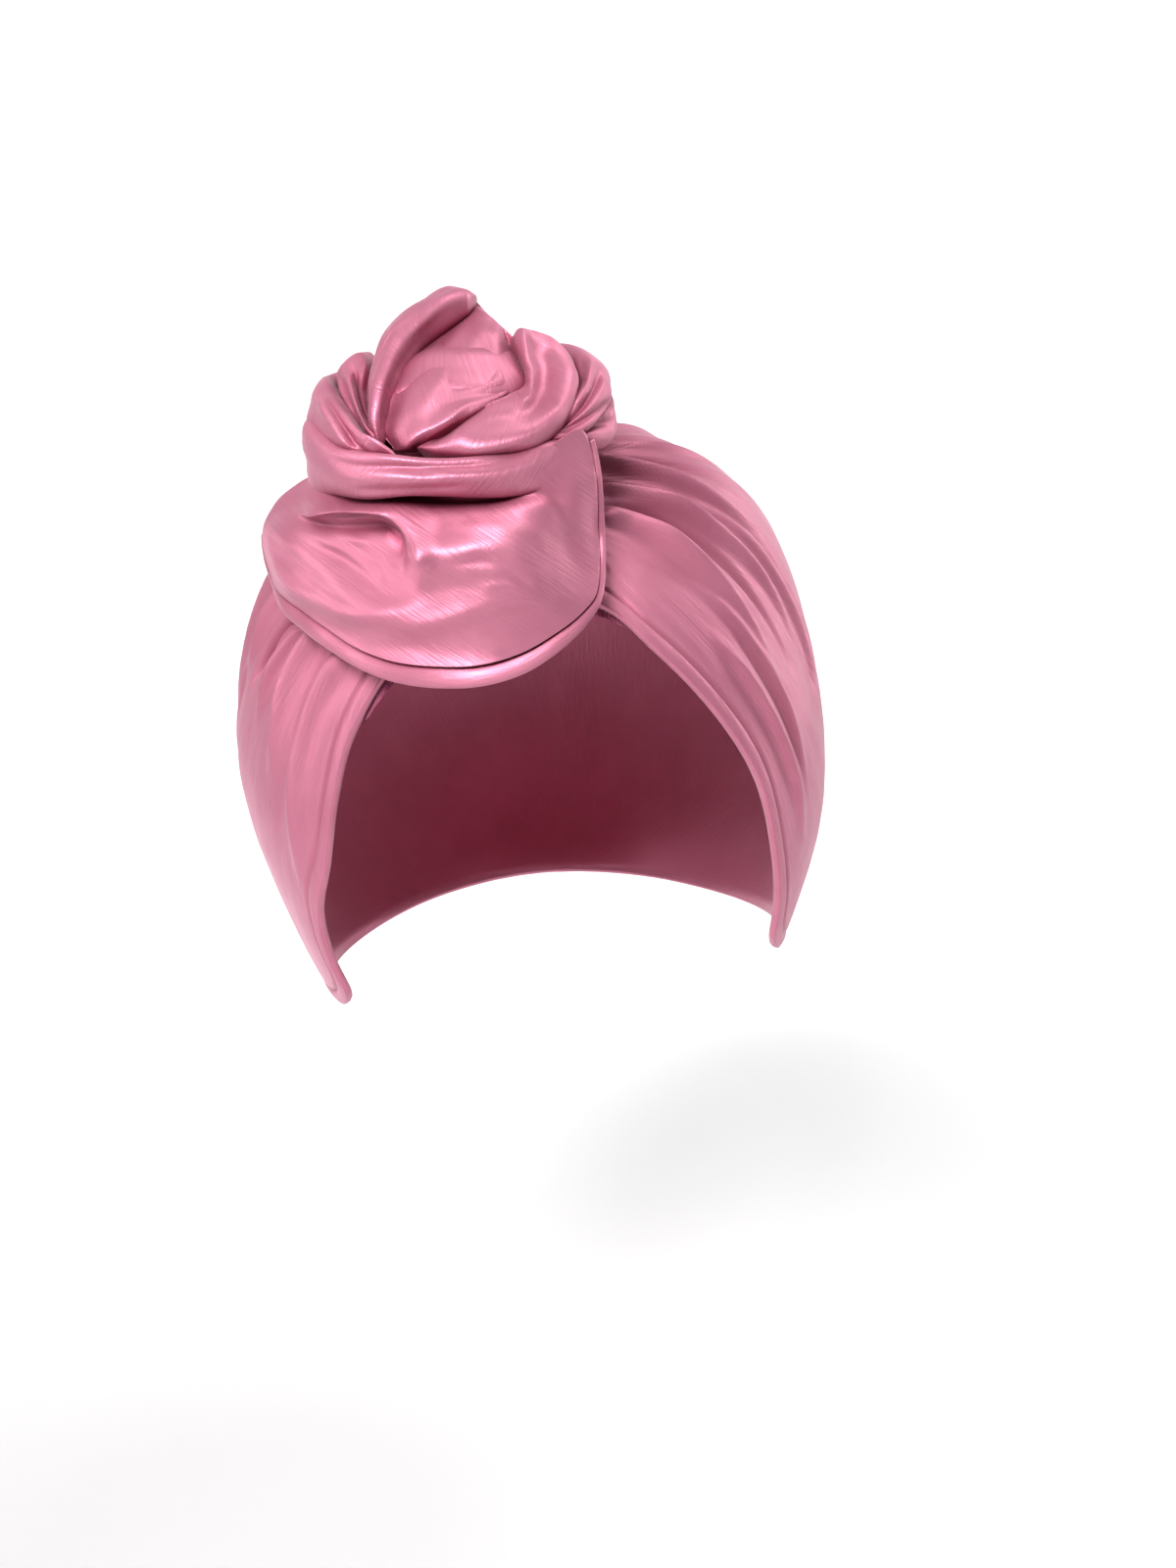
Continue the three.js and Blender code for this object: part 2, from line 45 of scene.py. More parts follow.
# The cap's rim, from the middle of the brow round by the wearer's left cheek and the nape and back.
CAP_RIM = {
    "azimuth": [
        -8, 12, 21.5, 31, 38.5, 43, 47, 50, 58, 75, 100, 135, 180,
        225, 262, 285, 299, 306, 307, 310, 316, 320, 324, 331, 341,
    ],
    "elevation": [
        34, 30.5, 22.5, 12, 1, -11, -21, -28, -32, -34, -36, -38, -39,
        -38, -37, -36, -34, -30, -23, -14, -5, 5, 14, 23, 30,
    ],
}
CAP_POLE = (180.0, 48.0)


def table(columns, rows):
    """Rows of numbers as one list for each named column."""
    return {name: [row[i] for row in rows] for i, name in enumerate(columns)}


def rows_of(folds):
    """A table's rows, each as a dictionary by column."""
    return [dict(zip(folds, row)) for row in zip(*folds.values())]


# The cap's broad swells and hollows: where each one is, how far it lifts the cloth and its spread in degrees.
CAP_BULGES = table(
    ["azimuth", "elevation", "lift", "spread"],
    [
        [72, 48, 5.5, 20],
        [95, 30, 3, 18],
        [-75, -20, -4, 18],
        [75, -28, -2, 16],
        [180, -42, -12, 26],
        [140, -42, -8, 26],
        [-140, -42, -8, 26],
        [180, 30, 2, 40],
        [100, 78, -5.2, 26],
        [-92, 34, -6.4, 12],
        [-95, -3, -3, 12],
    ],
)

# The cap's gathers that the brow side shows. Left and right are the widths of a ridge's two flanks.
GATHERS = table(
    ["az0", "el0", "az1", "el1", "az2", "el2", "left", "right", "high"],
    [
        [19, 63, 46, 57, 80, 43, 2.6, 1.7, 3.0],
        [17, 60, 43, 53.5, 68, 41, 1.6, 1.9, -2.2],
        [19, 57, 43, 50, 68, 33, 2.2, 1.6, 3.2],
        [19, 53, 39, 47, 60, 32, 1.5, 1.8, -2.4],
        [19, 50, 37, 44.6, 57, 26, 2.1, 1.6, 3.0],
        [19, 47, 35, 41.6, 50, 26, 1.3, 1.6, -1.8],
        [18, 45, 32, 38.6, 46, 19, 2.2, 2, 2.4],
        [28, 42, 42, 29, 51, 7, 2.2, 1.8, 2.4],
        [27, 47, 52, 34, 63, 11, 2.2, 1.6, 2.2],
        [30, 44.6, 47, 31.6, 57, 9, 1.3, 1.5, -1.4],
        [35, 22, 46, 4, 54.6, -15, 2.4, 1.7, 2.4],
        [36, 30, 48, 13, 55, -6, 2, 1.5, 1.5],
        [40, 22, 49.6, 6, 56, -10, 1.2, 1.4, -0.9],
        [50, 42, 64, 22, 67, 1, 3.4, 2, 2.2],
        [46, 46, 66, 30, 76, 9, 2.4, 2.2, -1.4],
        [22, 69, 60, 65.4, 104, 52, 3.4, 2, 1.8],
        [20, 66, 52, 61, 92, 48, 1.8, 1.8, -1.6],
        [12, 78, 75, 84, 140, 64, 4.6, 3, 2.2],
        [-56, 38, -68, 29.6, -81, 14, 2.4, 1.5, 4.6],
        [-52, 33.6, -62.5, 27, -71, 17, 1.5, 1.6, -4.8],
        [-50, 30.4, -59, 23.6, -66, 12, 1.8, 1.5, 2.6],
        [-43, 31, -52.6, 21.6, -58, 4, 3.2, 1.6, 3.2],
        [-36, 28, -47, 12, -53, -16, 3.6, 2.8, 3.4],
        [-40, 27, -48, 17, -52, 3, 1.3, 1.3, -0.9],
        [-57, 46, -76, 32, -88, 12, 4, 2.2, 3.8],
        [-54, 41, -70, 28.6, -80, 10, 1.8, 1.8, -2.2],
        [-66, 58, -95, 45, -122, 24, 4.5, 2.6, 3],
        [-56, 68, -110, 60, -145, 38, 5, 3, 2.8],
        [-38, 20, -45, 6, -50, -12, 2, 1.8, 0.9],
    ],
)

# The knitted band's two edges along the brow, in degrees.
BAND = table(
    ["azimuth", "low", "high"],
    [
        [-37, 19, 24],
        [-34.5, 16.6, 29],
        [-32, 18.8, 31],
        [-29, 21.6, 34],
        [-24, 25.4, 37],
        [-19, 28.6, 40],
        [-8, 31, 43],
        [4, 31, 43],
        [12, 29.6, 41],
        [17, 27.4, 38],
        [21.5, 26, 35],
        [25, 25.6, 31],
    ],
)

# The hanging end's outline as seen from the front, clockwise, and the width of the seamed edge outside it.
FLAP_SEAM = table(
    ["x", "z", "edge"],
    [
        [15.6, -8, 2],
        [16.2, -15, 2.3],
        [16, -25, 2.4],
        [15.2, -34, 2.4],
        [13.5, -40.5, 2.6],
        [10, -44.3, 3],
        [3.6, -48, 3.8],
        [-5.2, -51.6, 4.4],
        [-14.7, -53.2, 4.6],
        [-23.8, -52.8, 4.8],
        [-31.9, -51.6, 4.8],
        [-38, -49.6, 4.8],
        [-43.5, -46.8, 4.8],
        [-49, -43, 5],
        [-54, -38.8, 5.2],
        [-58, -34, 5],
        [-60, -29, 4],
        [-60.2, -24, 3],
    ],
)
# The outline goes on along the line under the knot.
FLAP_TOP = table(
    ["x", "z"],
    [
        [-58.5, -18.5],
        [-56, -13.5],
        [-51, -9.5],
        [-46, -9.5],
        [-40, -12],
        [-28, -12.5],
        [-14, -14.5],
        [-4, -13.5],
        [3, -10],
        [9, -6.8],
        [13.5, -5],
    ],
)
FLAP_MIDDLE = np.array([-20.0, -31.0])
FLAP_WALL = 2.6
EDGE_HALF_THICK = 1.5

# The hanging end's plain form: a curve round the brow that leans back from its low edge up.
CURVE_MIDDLE_X, CURVE_HALF_WIDE, CURVE_MOST = -8, 54, 0.985
CURVE_FRONT_Y, CURVE_DEEP = -95, 68
LEAN_FROM_Z, LEAN_RISE = -58, 8

# Where the hanging end is tucked in under the roll, and where its relief turns to stand straight forward.
TUCK_DEEP, TUCK_FROM_Z, TUCK_HIGH, TUCK_END_X, TUCK_FADE = 5, -17, 8, 3, 10
STRAIGHT_FROM_X, STRAIGHT_OVER = -4, 8

# Creases and ridges. Each stroke is a curve of points, the widths of the flank on its left and right as it is
# drawn, its height in millimetres (less than nothing for a valley), its power (low for a sharp crest) and how
# far its crest leans down. Those of the hanging end lie over its (x, z).
STROKE = ["points", "left", "right", "high", "power", "lean"]
FLAP_STROKES = table(STROKE, [
    [[(-56, -18), (-49, -17.2), (-45.6, -17.1), (-41, -16.3), (-37, -16.2), (-31.5, -17), (-28.2, -18.6),
      (-25.6, -21.6), (-24, -25), (-22.8, -29), (-23, -33), (-26, -37.5)], 2.6, 1.2, 4.6, 1.9, 2.0],
    [[(-54, -18.4), (-49, -19), (-45.3, -20.2), (-41.3, -20.8), (-36.4, -21), (-32, -21.2), (-29.2, -23),
      (-27.6, -26), (-27.2, -29.4), (-28, -33)], 0.8, 1.8, -2.4, 1.8, 0],
    [[(-60, -15.4), (-49.5, -15), (-44.5, -14.6), (-37, -14.2), (-30, -14), (-25, -15), (-21, -16.4),
      (-14, -17.6), (-6, -17.9), (0, -17.6), (5, -18), (8, -21), (9.4, -27)], 1.8, 1.6, -2.6, 1.8, 0],
    [[(-25, -33), (-21, -30), (-18, -28.6), (-12, -27.8), (-8, -28.3), (-5, -31), (-1, -35), (3, -38.4),
      (9, -43)], 4, 4, 0.6, 2, 0],
    [[(9, -12), (8, -16), (7.4, -20), (7.8, -26), (9, -32), (11, -38), (14, -43)], 2.2, 3.0, -0.8, 2, 0],
    [[(-34, -42.8), (-28, -43.6), (-22, -43.4), (-16, -42), (-8, -41), (-1, -41), (7, -44)],
      2.4, 2, 1.0, 1.8, 0],
    [[(-60, -22), (-57, -25), (-54, -31), (-48.6, -36.6), (-42, -40), (-33, -42.4), (-26, -43.6)],
      3.4, 2, 1.1, 1.8, 0],
    [[(-60, -18), (-55, -20.6), (-50, -24.4), (-46, -29), (-40, -35), (-34, -40)], 2, 2.6, 1.3, 1.8, 0],
    [[(-54, -21.6), (-47, -24.4), (-41, -28.6), (-35, -34), (-31, -39)], 1.2, 1.2, -0.6, 1.8, 0],
    [[(-48, -23), (-41, -26), (-35.6, -30.6), (-32, -36)], 1, 1.1, 0.6, 1.8, 0],
    [[(-42, -22.6), (-35.6, -25.4), (-31.4, -29.6), (-29, -35)], 1, 1, 0.55, 1.8, 0],
    [[(-38, -24), (-33, -27.4), (-30, -31.6)], 0.8, 0.8, -0.4, 1.8, 0],
    [[(-51, -31), (-46, -35), (-40, -38.6), (-34, -40.6)], 1, 1.1, -0.5, 1.8, 0],
    [[(-18, -31.6), (-12, -31), (-7.6, -32.6), (-4, -36.4), (-1, -40)], 1.4, 1.4, -0.5, 1.8, 0],
    [[(-17, -22), (-9, -24), (0, -26), (4, -29)], 1.6, 1.6, 0.4, 2, 0],
    [[(-12, -36), (-6, -37.4), (0, -39.6)], 1, 1, 0.35, 2, 0],
])

# The hanging end's broad relief: a row for each upright section, with how far the cloth stands forward
# there at heights from just under the roll above down to the seam.
RELIEF_HEIGHTS = [-16, -20, -24, -28, -32, -36, -40, -44, -48, -52]
RELIEF = table(
    ["x", "at16", "at20", "at24", "at28", "at32", "at36", "at40", "at44", "at48", "at52"],
    [
        [-60, 0, 0.5, 0.8, 0.8, 0.3, 0, 0, 0, 0, 0],
        [-52.5, -1, 1.2, 2.2, 2.2, 2.4, 2.2, 0.2, -0.2, 0, 0],
        [-45, 0.5, 1.4, 1.2, 1.0, 1.6, 2.6, 1.6, -0.4, -0.5, -0.4],
        [-37.5, 0.5, 0.8, 0.2, 0, 0.6, 2.0, 2.6, 0.4, -0.7, -0.8],
        [-30, 0, 0.6, 0.4, 0.2, 0.3, 1.2, 2.6, 1.2, -0.6, -1.1],
        [-22.5, -1.5, 0.4, 2.0, 3.4, 3.4, 2.6, 2.4, 1.5, -0.2, -1.1],
        [-15, -2, 0.4, 2.6, 4.7, 4.5, 3.4, 2.7, 1.4, -0.1, -1.0],
        [-7.5, -1.6, 0.4, 2.6, 4.6, 4.8, 4.0, 2.8, 1.0, 0, -0.8],
        [0, 0.6, 0.9, 2.0, 2.8, 3.2, 3.4, 2.6, 1.0, 0.1, -0.4],
        [7.5, 0.3, 0, -0.2, -0.6, -0.6, 0.2, 0.8, 0.6, 0.2, 0],
        [15, -0.4, -1.6, -2.8, -3.6, -3.4, -2.4, -1.2, -0.4, 0, 0],
    ],
)

# Strokes on the knot, over (x, z) as the camera sees it on a plane across the knot.
KNOT_PLANE = -70.0
KNOT_STROKES = {
    "leaf_hood": table(STROKE, [
        [[(-30.4, -4), (-30, 2), (-28.6, 7.6), (-26.2, 12.4), (-22.6, 17), (-18.4, 21), (-12.6, 24.6),
          (-6, 26)], 2.0, 0.9, 1.6, 1.7, 0],
        [[(-32.4, 1), (-32.2, 6), (-31, 10.6), (-28.8, 15), (-25.4, 19.4), (-21, 23)],
          1.1, 1.1, -1.5, 1.7, 0],
        [[(-33.2, 4), (-32.6, 9), (-30.6, 14)], 0.8, 0.8, 0.8, 1.8, 0],
        [[(-24, 19), (-19, 23.6), (-13, 27.4)], 1.6, 1.6, -0.7, 2, 0],
    ]),
    "centre_leaf": table(STROKE, [
        [[(-30, -7), (-25.5, -5.6), (-22, -3), (-17.5, -1.2), (-13.4, 0.8), (-10.4, 3.4), (-6.6, 5.4),
          (-1.6, 6.4), (4, 6.6)], 2.2, 1.3, 1.4, 1.9, 0.4],
        [[(-14.4, 2.2), (-12, 4), (-9, 4.6), (-4, 5.4), (1, 5.6)], 0.9, 1.2, -1.6, 1.7, 0],
        [[(-30, -8), (-28.8, -1), (-27, 5), (-24, 10.4), (-20, 15), (-14.6, 19.6), (-8, 23.4), (-1, 25)],
          1.6, 2.4, -2.2, 1.8, 0],
        [[(2.8, 22), (1.8, 15), (2, 9), (2.8, 2)], 2.6, 2, -3.8, 1.9, 0],
        [[(-7, 24), (-4.4, 17), (-3.6, 11)], 3.6, 2.6, 0.8, 2, 0],
        [[(-29, -4), (-21, 5), (-13, 12), (-5, 18)], 3.6, 3.6, 0.9, 2, 0],
        [[(-20, -2), (-12, 6), (-5, 11), (0, 14)], 2.8, 2.8, -0.7, 2, 0],
    ]),
    "right_turn": table(STROKE, [
        [[(-19, -6.6), (-12, -7.6), (-5, -7.2), (1, -6), (7, -3.4), (11.5, 0.6), (13.8, 5), (14.6, 10)],
          3.5, 1.4, 1.0, 1.7, 0],
        [[(-16, -4.2), (-9, -2.8), (-2, -0.6), (2.4, 0.6)], 1.6, 1.6, 0.5, 2, 0],
        [[(3.8, 22), (4.2, 16.5), (4.8, 11.5), (5.4, 8), (4.6, 5), (3, 1.6), (0, -0.4)],
          1.0, 1.4, 2.2, 1.7, 0],
        [[(8.4, 18), (8.6, 13), (8.8, 8), (8, 3.6), (4.6, 0), (-1, -2.4)], 2, 2.4, -1.5, 2, 0],
        [[(1.6, 3), (3.4, 4.4), (4.2, 7.4)], 0.9, 0.9, -1.5, 1.7, 0],
        [[(-23, -6.4), (-17.6, -3.4), (-13, -0.6), (-8.6, 2.4), (-2, 4.4), (3, 5)], 1.3, 1.5, -2.2, 1.8, 0],
    ]),
    "right_wrap": table(STROKE, [
        [[(6.5, -6), (12, -3.2), (16.6, 0.6), (19.6, 4.8), (21.6, 9.4)], 0.9, 0.9, -2.2, 1.6, 0],
        [[(8.6, -6), (14, -4.2), (19, -1.8), (24.4, 1)], 0.9, 0.9, -1.8, 1.6, 0],
        [[(11, -3), (15.6, 1.6), (18, 6), (19, 11.5)], 1.3, 0.9, 1.2, 1.8, 0],
        [[(16.4, 11), (17, 7), (16, 3)], 1, 1, -0.6, 1.8, 0],
    ]),
    "right_under_wrap": table(STROKE, [
        [[(8, -6.6), (14, -5.6), (19, -4.6), (25, -3.6)], 0.9, 0.9, -1.5, 1.6, 0],
    ]),
    "left_turn": table(STROKE, [
        [[(-43, 15.4), (-41, 11.6), (-38.8, 6.8), (-36.2, 2), (-33.2, -1.4), (-29.2, -4.4), (-24, -7)],
          1.1, 1.1, 2.0, 1.7, 0],
        [[(-40, 14.6), (-38.4, 11), (-36.4, 7), (-34, 3.2), (-31.2, 0), (-27.6, -3), (-23.6, -5.4)],
          1.1, 1.1, -2.4, 1.7, 0],
        [[(-46, 11), (-44, 8), (-41.4, 4.2), (-39.6, 0.4), (-38, -2.8), (-35, -6)], 1.2, 1.0, 1.6, 1.7, 0],
        [[(-43.4, 11), (-41.8, 8), (-39.6, 4), (-37.6, -0.4), (-35.4, -4.2), (-32, -6.6)],
          0.8, 0.8, -1.5, 1.6, 0],
        [[(-46.6, 5), (-44.4, 0.6), (-42, -3.4), (-39, -7)], 1.2, 1.2, -1.1, 1.9, 0],
    ]),
    "left_pleat": table(STROKE, [
        [[(-37, 15), (-35.6, 10), (-35, 6), (-33.8, 1.6), (-31.4, -2.6), (-29, -6)], 0.8, 0.8, 1.5, 1.7, 0],
        [[(-34.4, 16), (-33.6, 10), (-33, 5.6), (-32, 1.6), (-30.4, -2.4)], 0.8, 0.8, -2.4, 1.6, 0],
        [[(-32, 17), (-31.4, 11), (-31, 6), (-30.2, 1)], 0.8, 0.7, 1.2, 1.7, 0],
        [[(-38.6, 14), (-37, 10), (-35.8, 6), (-34.6, 2), (-32.6, -1.6)], 0.7, 0.7, -1.6, 1.6, 0],
    ]),
    "front_wrap": table(STROKE, [
        [[(-46, -1), (-40, -5), (-33, -7), (-24, -8), (-14, -8.8), (-5, -9.2), (3, -8.6)],
          1.4, 1.2, 0.8, 1.8, 0],
        [[(-44, -5.4), (-37, -8), (-30, -8.9), (-20, -10), (-10, -10.9), (-2, -10.8)],
          0.8, 1.2, -1.1, 1.7, 0],
        [[(-46.5, -9), (-38, -11), (-28, -11.8), (-18, -12.8), (-8, -13.2), (0, -12.6), (6, -10.6)],
          1.4, 2, 0.9, 1.9, 0],
        [[(-40, -13.6), (-30, -14.4), (-20, -15), (-10, -15.2)], 1, 0.9, -0.8, 1.8, 0],
        [[(-37.6, -5), (-35, -6.6), (-31, -7)], 0.7, 0.7, -0.8, 1.6, 0],
        [[(-26, -9), (-22, -11.4), (-16, -12.4)], 0.8, 0.8, -0.5, 1.8, 0],
    ]),
}

# The knot's folds. Each row is a section: its two edges, how far its face swells out between them and how far
# its back reaches into the knot.
SECTION = ["x0", "y0", "z0", "x1", "y1", "z1", "face", "back"]
FOLDS = {
    "front_wrap": table(SECTION, [
        [-32, -36, 4, -36, -33, -12, 4, 8],
        [-40, -50, 5, -45, -49, -14, 4, 10],
        [-42, -66, 3, -43, -69, -14.4, 4.6, 10],
        [-36, -80, -4, -36, -81.5, -14.8, 4.8, 10],
        [-25, -88, -7, -27, -88, -15.6, 5, 10],
        [-12, -88.7, -8.5, -12, -89.2, -17.6, 4.4, 10],
        [-3, -87.6, -8.4, -3, -88.1, -18, 2.9, 9],
        [5, -84.8, -7.4, 5, -85.3, -16.6, 2.2, 7],
        [12, -80.5, -7, 12, -81.5, -13, 1, 4],
    ]),
    "right_turn": table(SECTION, [
        [-23, -84, -4.2, -22, -86, -6.6, 1, 4],
        [-16, -83, -2.2, -14, -89, -8.6, 2.6, 8],
        [-8, -82, 1.4, -5, -89, -9, 3.2, 9],
        [-1, -79, 3.6, 5, -86, -7.5, 3.4, 9],
        [3, -75, 5, 12, -79, -3, 3.4, 9],
        [4, -71, 9, 15, -72, 4, 3.4, 8],
        [2.6, -67, 15, 14, -65, 9.6, 3.2, 7],
        [3.6, -63, 19.6, 9.4, -60, 14, 2.2, 5],
    ]),
    "leaf_hood": table(SECTION, [
        [-31, -82, -5, -29.5, -83, -4.5, 1, 2],
        [-32, -77, 3, -29, -80, 4, 2, 4],
        [-30, -69, 11, -26, -76, 11, 3, 5],
        [-26, -61, 19, -22, -71, 17, 3.5, 6],
        [-19, -55, 26, -16, -67, 20, 4, 6],
        [-11, -51, 29, -10, -64, 23, 3.5, 5],
        [-4, -52, 27, -5, -60, 25.5, 1.5, 3],
    ]),
    "left_turn": table(SECTION, [
        [-24, -34, 11, -32, -36, 4, 3, 7],
        [-35, -48, 13, -42, -50, 1, 4, 9],
        [-40, -60, 10.6, -45, -64, -1, 3, 9],
        [-38, -73, 5, -41, -77, -3.5, 3, 8],
        [-33, -83, -2, -34, -85, -6, 2.5, 5],
        [-27, -88, -6, -27, -89, -7.5, 1, 2],
    ]),
    "left_pleat": table(SECTION, [
        [-28, -48, 17, -35, -48, 13, 2, 7],
        [-31, -57, 15, -38, -59, 10, 2.5, 8],
        [-32.5, -68, 7, -36.5, -70, 4, 2, 7],
        [-31.5, -77, 0, -33, -79, -2, 1.5, 4],
        [-30, -82, -4, -30.5, -83, -5.5, 1, 2],
    ]),
    "centre_leaf": table(SECTION, [
        [-28.5, -82, -5, -26, -84, -6.2, 1, 4],
        [-31, -76, 3, -20, -86, -4, 2, 10],
        [-30, -70, 10, -10.5, -84.5, 0, 2.8, 14],
        [-26, -62, 17, -1, -77.5, 3.4, 3.6, 16],
        [-19, -56, 22, 4.4, -71, 8, 4, 16],
        [-11, -52, 26, 3, -63, 15, 3.6, 12],
        [-6, -52, 27.5, -2, -57, 22, 2, 6],
    ]),
    "right_wrap": table(SECTION, [
        [6, -84, -6, 8, -84, -8, 1, 3],
        [12, -78, -1, 16, -78, -6, 3, 7],
        [15, -70, 5, 21, -69, -1, 4, 9],
        [14.5, -61, 11, 22.5, -59, 4, 3.5, 9],
        [10, -51, 13, 19, -47, 7, 3.5, 9],
        [3, -41, 11, 12, -36, 6, 3, 8],
    ]),
    "right_under_wrap": table(SECTION, [
        [9, -83, -7, 10, -83, -9, 1, 3],
        [15, -76, -4, 16, -76, -10, 2.5, 7],
        [20, -67, 1, 21, -67, -9, 3, 9],
        [21, -56, 4, 22, -55, -8, 3, 9],
        [18, -45, 5, 20, -43, -7, 3, 9],
        [12, -35, 5, 14, -33, -5, 3, 8],
    ]),
    "back_wrap": table(SECTION, [
        [-35, -44, 12, -36, -38, -4, 2, 7],
        [-25, -34, 16, -28, -26, -3, 4, 10],
        [-12, -29, 17, -12, -20, -2, 5, 12],
        [2, -33, 15, 4, -25, -3, 4, 10],
        [10, -42, 12, 15, -37, -4, 2, 7],
    ]),
}
# How far each fold's crest lies towards its second edge, from -1 to 1.
SKEW = {"right_turn": 0.45, "front_wrap": -0.25, "left_turn": -0.2, "centre_leaf": -0.15, "leaf_hood": 0.6}
CORE_MIDDLE = np.array([-13.0, -56.0, 0.0])
CORE_HALF = np.array([24.0, 25.0, 18.0])

# How fine each mesh is, in points.
CAP_AROUND, CAP_OUTSIDE, CAP_INSIDE = 400, 205, 24
BAND_ALONG, BAND_AROUND = 240, 60
FLAP_AROUND, FLAP_OUT, FLAP_BACK_STEP = 300, 90, 6
EDGE_ALONG, EDGE_AROUND = 320, 24
FOLD_ALONG, FOLD_AROUND = 210, 112
CORE_ALONG, CORE_AROUND = 40, 80

# A power under 1 sets the cap's rows closer towards the rim. Inside, its gathers show only in part.
ROW_POWER = 0.66
INSIDE_SHARE = 0.3
LIP_ROUND = 0.35
MM_PER_DEGREE = 1.6

# The hem inside the cap's rim: the height of its groove and of its puff, how far each is from the rim and its
# width.
HEM = [(-0.75, 4.8, 0.6), (0.3, 2.4, 1.6)]

# A gather's steps along its line and how it fades in and out, and the same for a stroke.
GATHER_STEPS, GATHER_LEAD, GATHER_RISE, GATHER_FALL = 16, 0.1, 0.3, 0.45
STROKE_STEPS, STROKE_FADE = 6, 0.27

# How often the strokes' hard lines are eased, and how quickly they come in where a fold turns to the camera.
SOFTEN_PASSES = 4
SEEN_GAIN = 2.5

# Uneven cloth: the lengths of its waves and ripples, how high they stand and the seeds of their draws. On
# the cap they fan out from the knot and fade with the degrees away from it.
WAVE_SIZES, WAVE_PEAK = (0.7, 1.6), 1.4
CAP_WAVE, CAP_WAVE_HIGH, CAP_SEED = 13, 0.7, 3
CAP_RIPPLE, CAP_RIPPLE_HIGH, CAP_RIPPLE_REACH = 5, 0.25, 70
FAN_WIDE, FAN_LONG = 60, 0.12
FAN_MOST, FAN_PEAK, FAN_REACH, FAN_LEAST = 1.1, 20, 42, 0.12
CLOTH_WAVE, CLOTH_WAVE_HIGH = 16, 0.25
CLOTH_RIPPLE, RIPPLE_COUNT = 6, 24
FLAP_RIPPLE_HIGH, FLAP_SEED = 0.06, 21
FOLD_RIPPLE_HIGH, FOLD_RIPPLE_LONG = 0.2, 40
CORE_UNEVEN, CORE_WAVE_AREA, CORE_SEED = 0.04, 10, 5

# A fold's rounded ends, as a part of a step and of a section, and how square its rounding is: 1 is an
# ellipse, and less is squarer.
END_GAP, END_ROUND = 0.7, 0.5
BAND_SQUARE, FOLD_SQUARE_WIDE, FOLD_SQUARE_TALL = 0.5, 0.9, 0.8
CORE_POLE_GAP = 0.04

# How the threads lie: their turn on the hanging end and the folds, and the texture's size in metres on the
# band, the seamed edge and the inner twist.
GRAIN_TURN = np.radians(50)
BAND_CLOTH = (0.03, 0.09)
EDGE_CLOTH = (0.01, 0.2)
CORE_CLOTH = 0.01

# Finishes. Satin's colour goes from dark to light with a mottle, and to a painted shade in its creases
# and hollows, where other cloth hides it.
SATIN_SHADER = {
    "Metallic": 0.5,
    "Specular IOR Level": 0.35,
    "Anisotropic": 0.65,
    "Sheen Weight": 0.2,
    "Sheen Roughness": 0.4,
    "Sheen Tint": (1.0, 0.7, 0.82, 1),
}
SATIN_DARK, SATIN_LIGHT = (0.55, 0.165, 0.258, 1), (0.69, 0.245, 0.35, 1)
# The dark colour of the painted shade in the satin's creases and hollows, and below how near the hiding cloth
# must be.
SATIN_PAINTED_SHADE = (0.2, 0.012, 0.045, 1)
SATIN_GLOSS = (0.4, 0.56)
THREADS = (1700, 120, 1)
SHADE_OCCLUSION_REACH, SHADE_OCCLUSION_SAMPLES, UNSHADED_FROM, UNSHADED_TO = 0.012, 6, 0.2, 0.97
KNIT_DARK, KNIT_LIGHT = (0.42, 0.05, 0.15, 1), (0.66, 0.14, 0.27, 1)
KNIT_GLOSS = (0.92, 0.7)
KNIT_RIBS, KNIT_ROWS = 260, 420

# The studio, in metres: area lights as place, aim, size, watts and spread in degrees, and a floor that
# rises into a wall behind.
LIGHT_AIM = (-0.01, -0.03, -0.06)
LIGHTS = {
    "key": ((-0.3, -0.91, 0.57), LIGHT_AIM, (0.45, 0.45), 3.1, 70),
    "left wall": ((-1.0, -0.15, 0.25), LIGHT_AIM, (0.3, 0.9), 1.6, 120),
    "right wall": ((0.96, 0.4, 0.15), LIGHT_AIM, (0.25, 0.9), 1.9, 120),
    "top": ((0.5, 0.0, 0.9), LIGHT_AIM, (0.4, 0.4), 1.35, 120),
    "backdrop": ((0.0, 0.35, 0.75), (0.0, 1.15, -0.05), (1.6, 0.5), 8.5, 115),
}
SKY_LIGHT = 0.09
FLOOR_PROFILE = [(-3.5, 0), (-1.2, 0), (0.7, 0), (0.95, 0.04), (1.1, 0.16), (1.16, 0.4), (1.16, 1.6)]
FLOOR_Z, FLOOR_HALF_WIDE = -0.32, 3.5
FLOOR_STEPS, FLOOR_COLUMNS = 60, 8
FLOOR_SHADER = {"Base Color": (0.9, 0.9, 0.9, 1), "Roughness": 0.9}
SENSOR_HIGH = 36
NEAREST_SEEN = 0.01
UP = np.array([0, 0, 1.0])


def catmull_rom(a, b, c, d, u):
    """A curve's value between b and c, at u from 0 to 1."""
    return b + 0.5 * u * (c - a + u * (2 * a - 5 * b + 4 * c - d + u * (3 * (b - c) + d - a)))


def smooth(values, t, closed=False):
    """A smooth curve through a column, at t from 0 to 1."""
    v = np.asarray(values, float)
    n = len(v)
    spans = n if closed else n - 1
    at = np.asarray(t, float) * spans
    i = np.clip(np.floor(at).astype(int), 0, spans - 1)
    if closed:
        a, b, c, d = (v[(i + k) % n] for k in (-1, 0, 1, 2))
    else:
        w = np.concatenate([[2 * v[0] - v[1]], v, [2 * v[-1] - v[-2]]])
        a, b, c, d = (w[i + k] for k in (0, 1, 2, 3))
    return catmull_rom(a, b, c, d, at - i)


def ease(t):
    """From 0 to 1 with level ends."""
    return t * t * (3 - 2 * t)


def turns(count):
    """Angles in even steps round a circle."""
    return 2 * np.pi * np.arange(count) / count


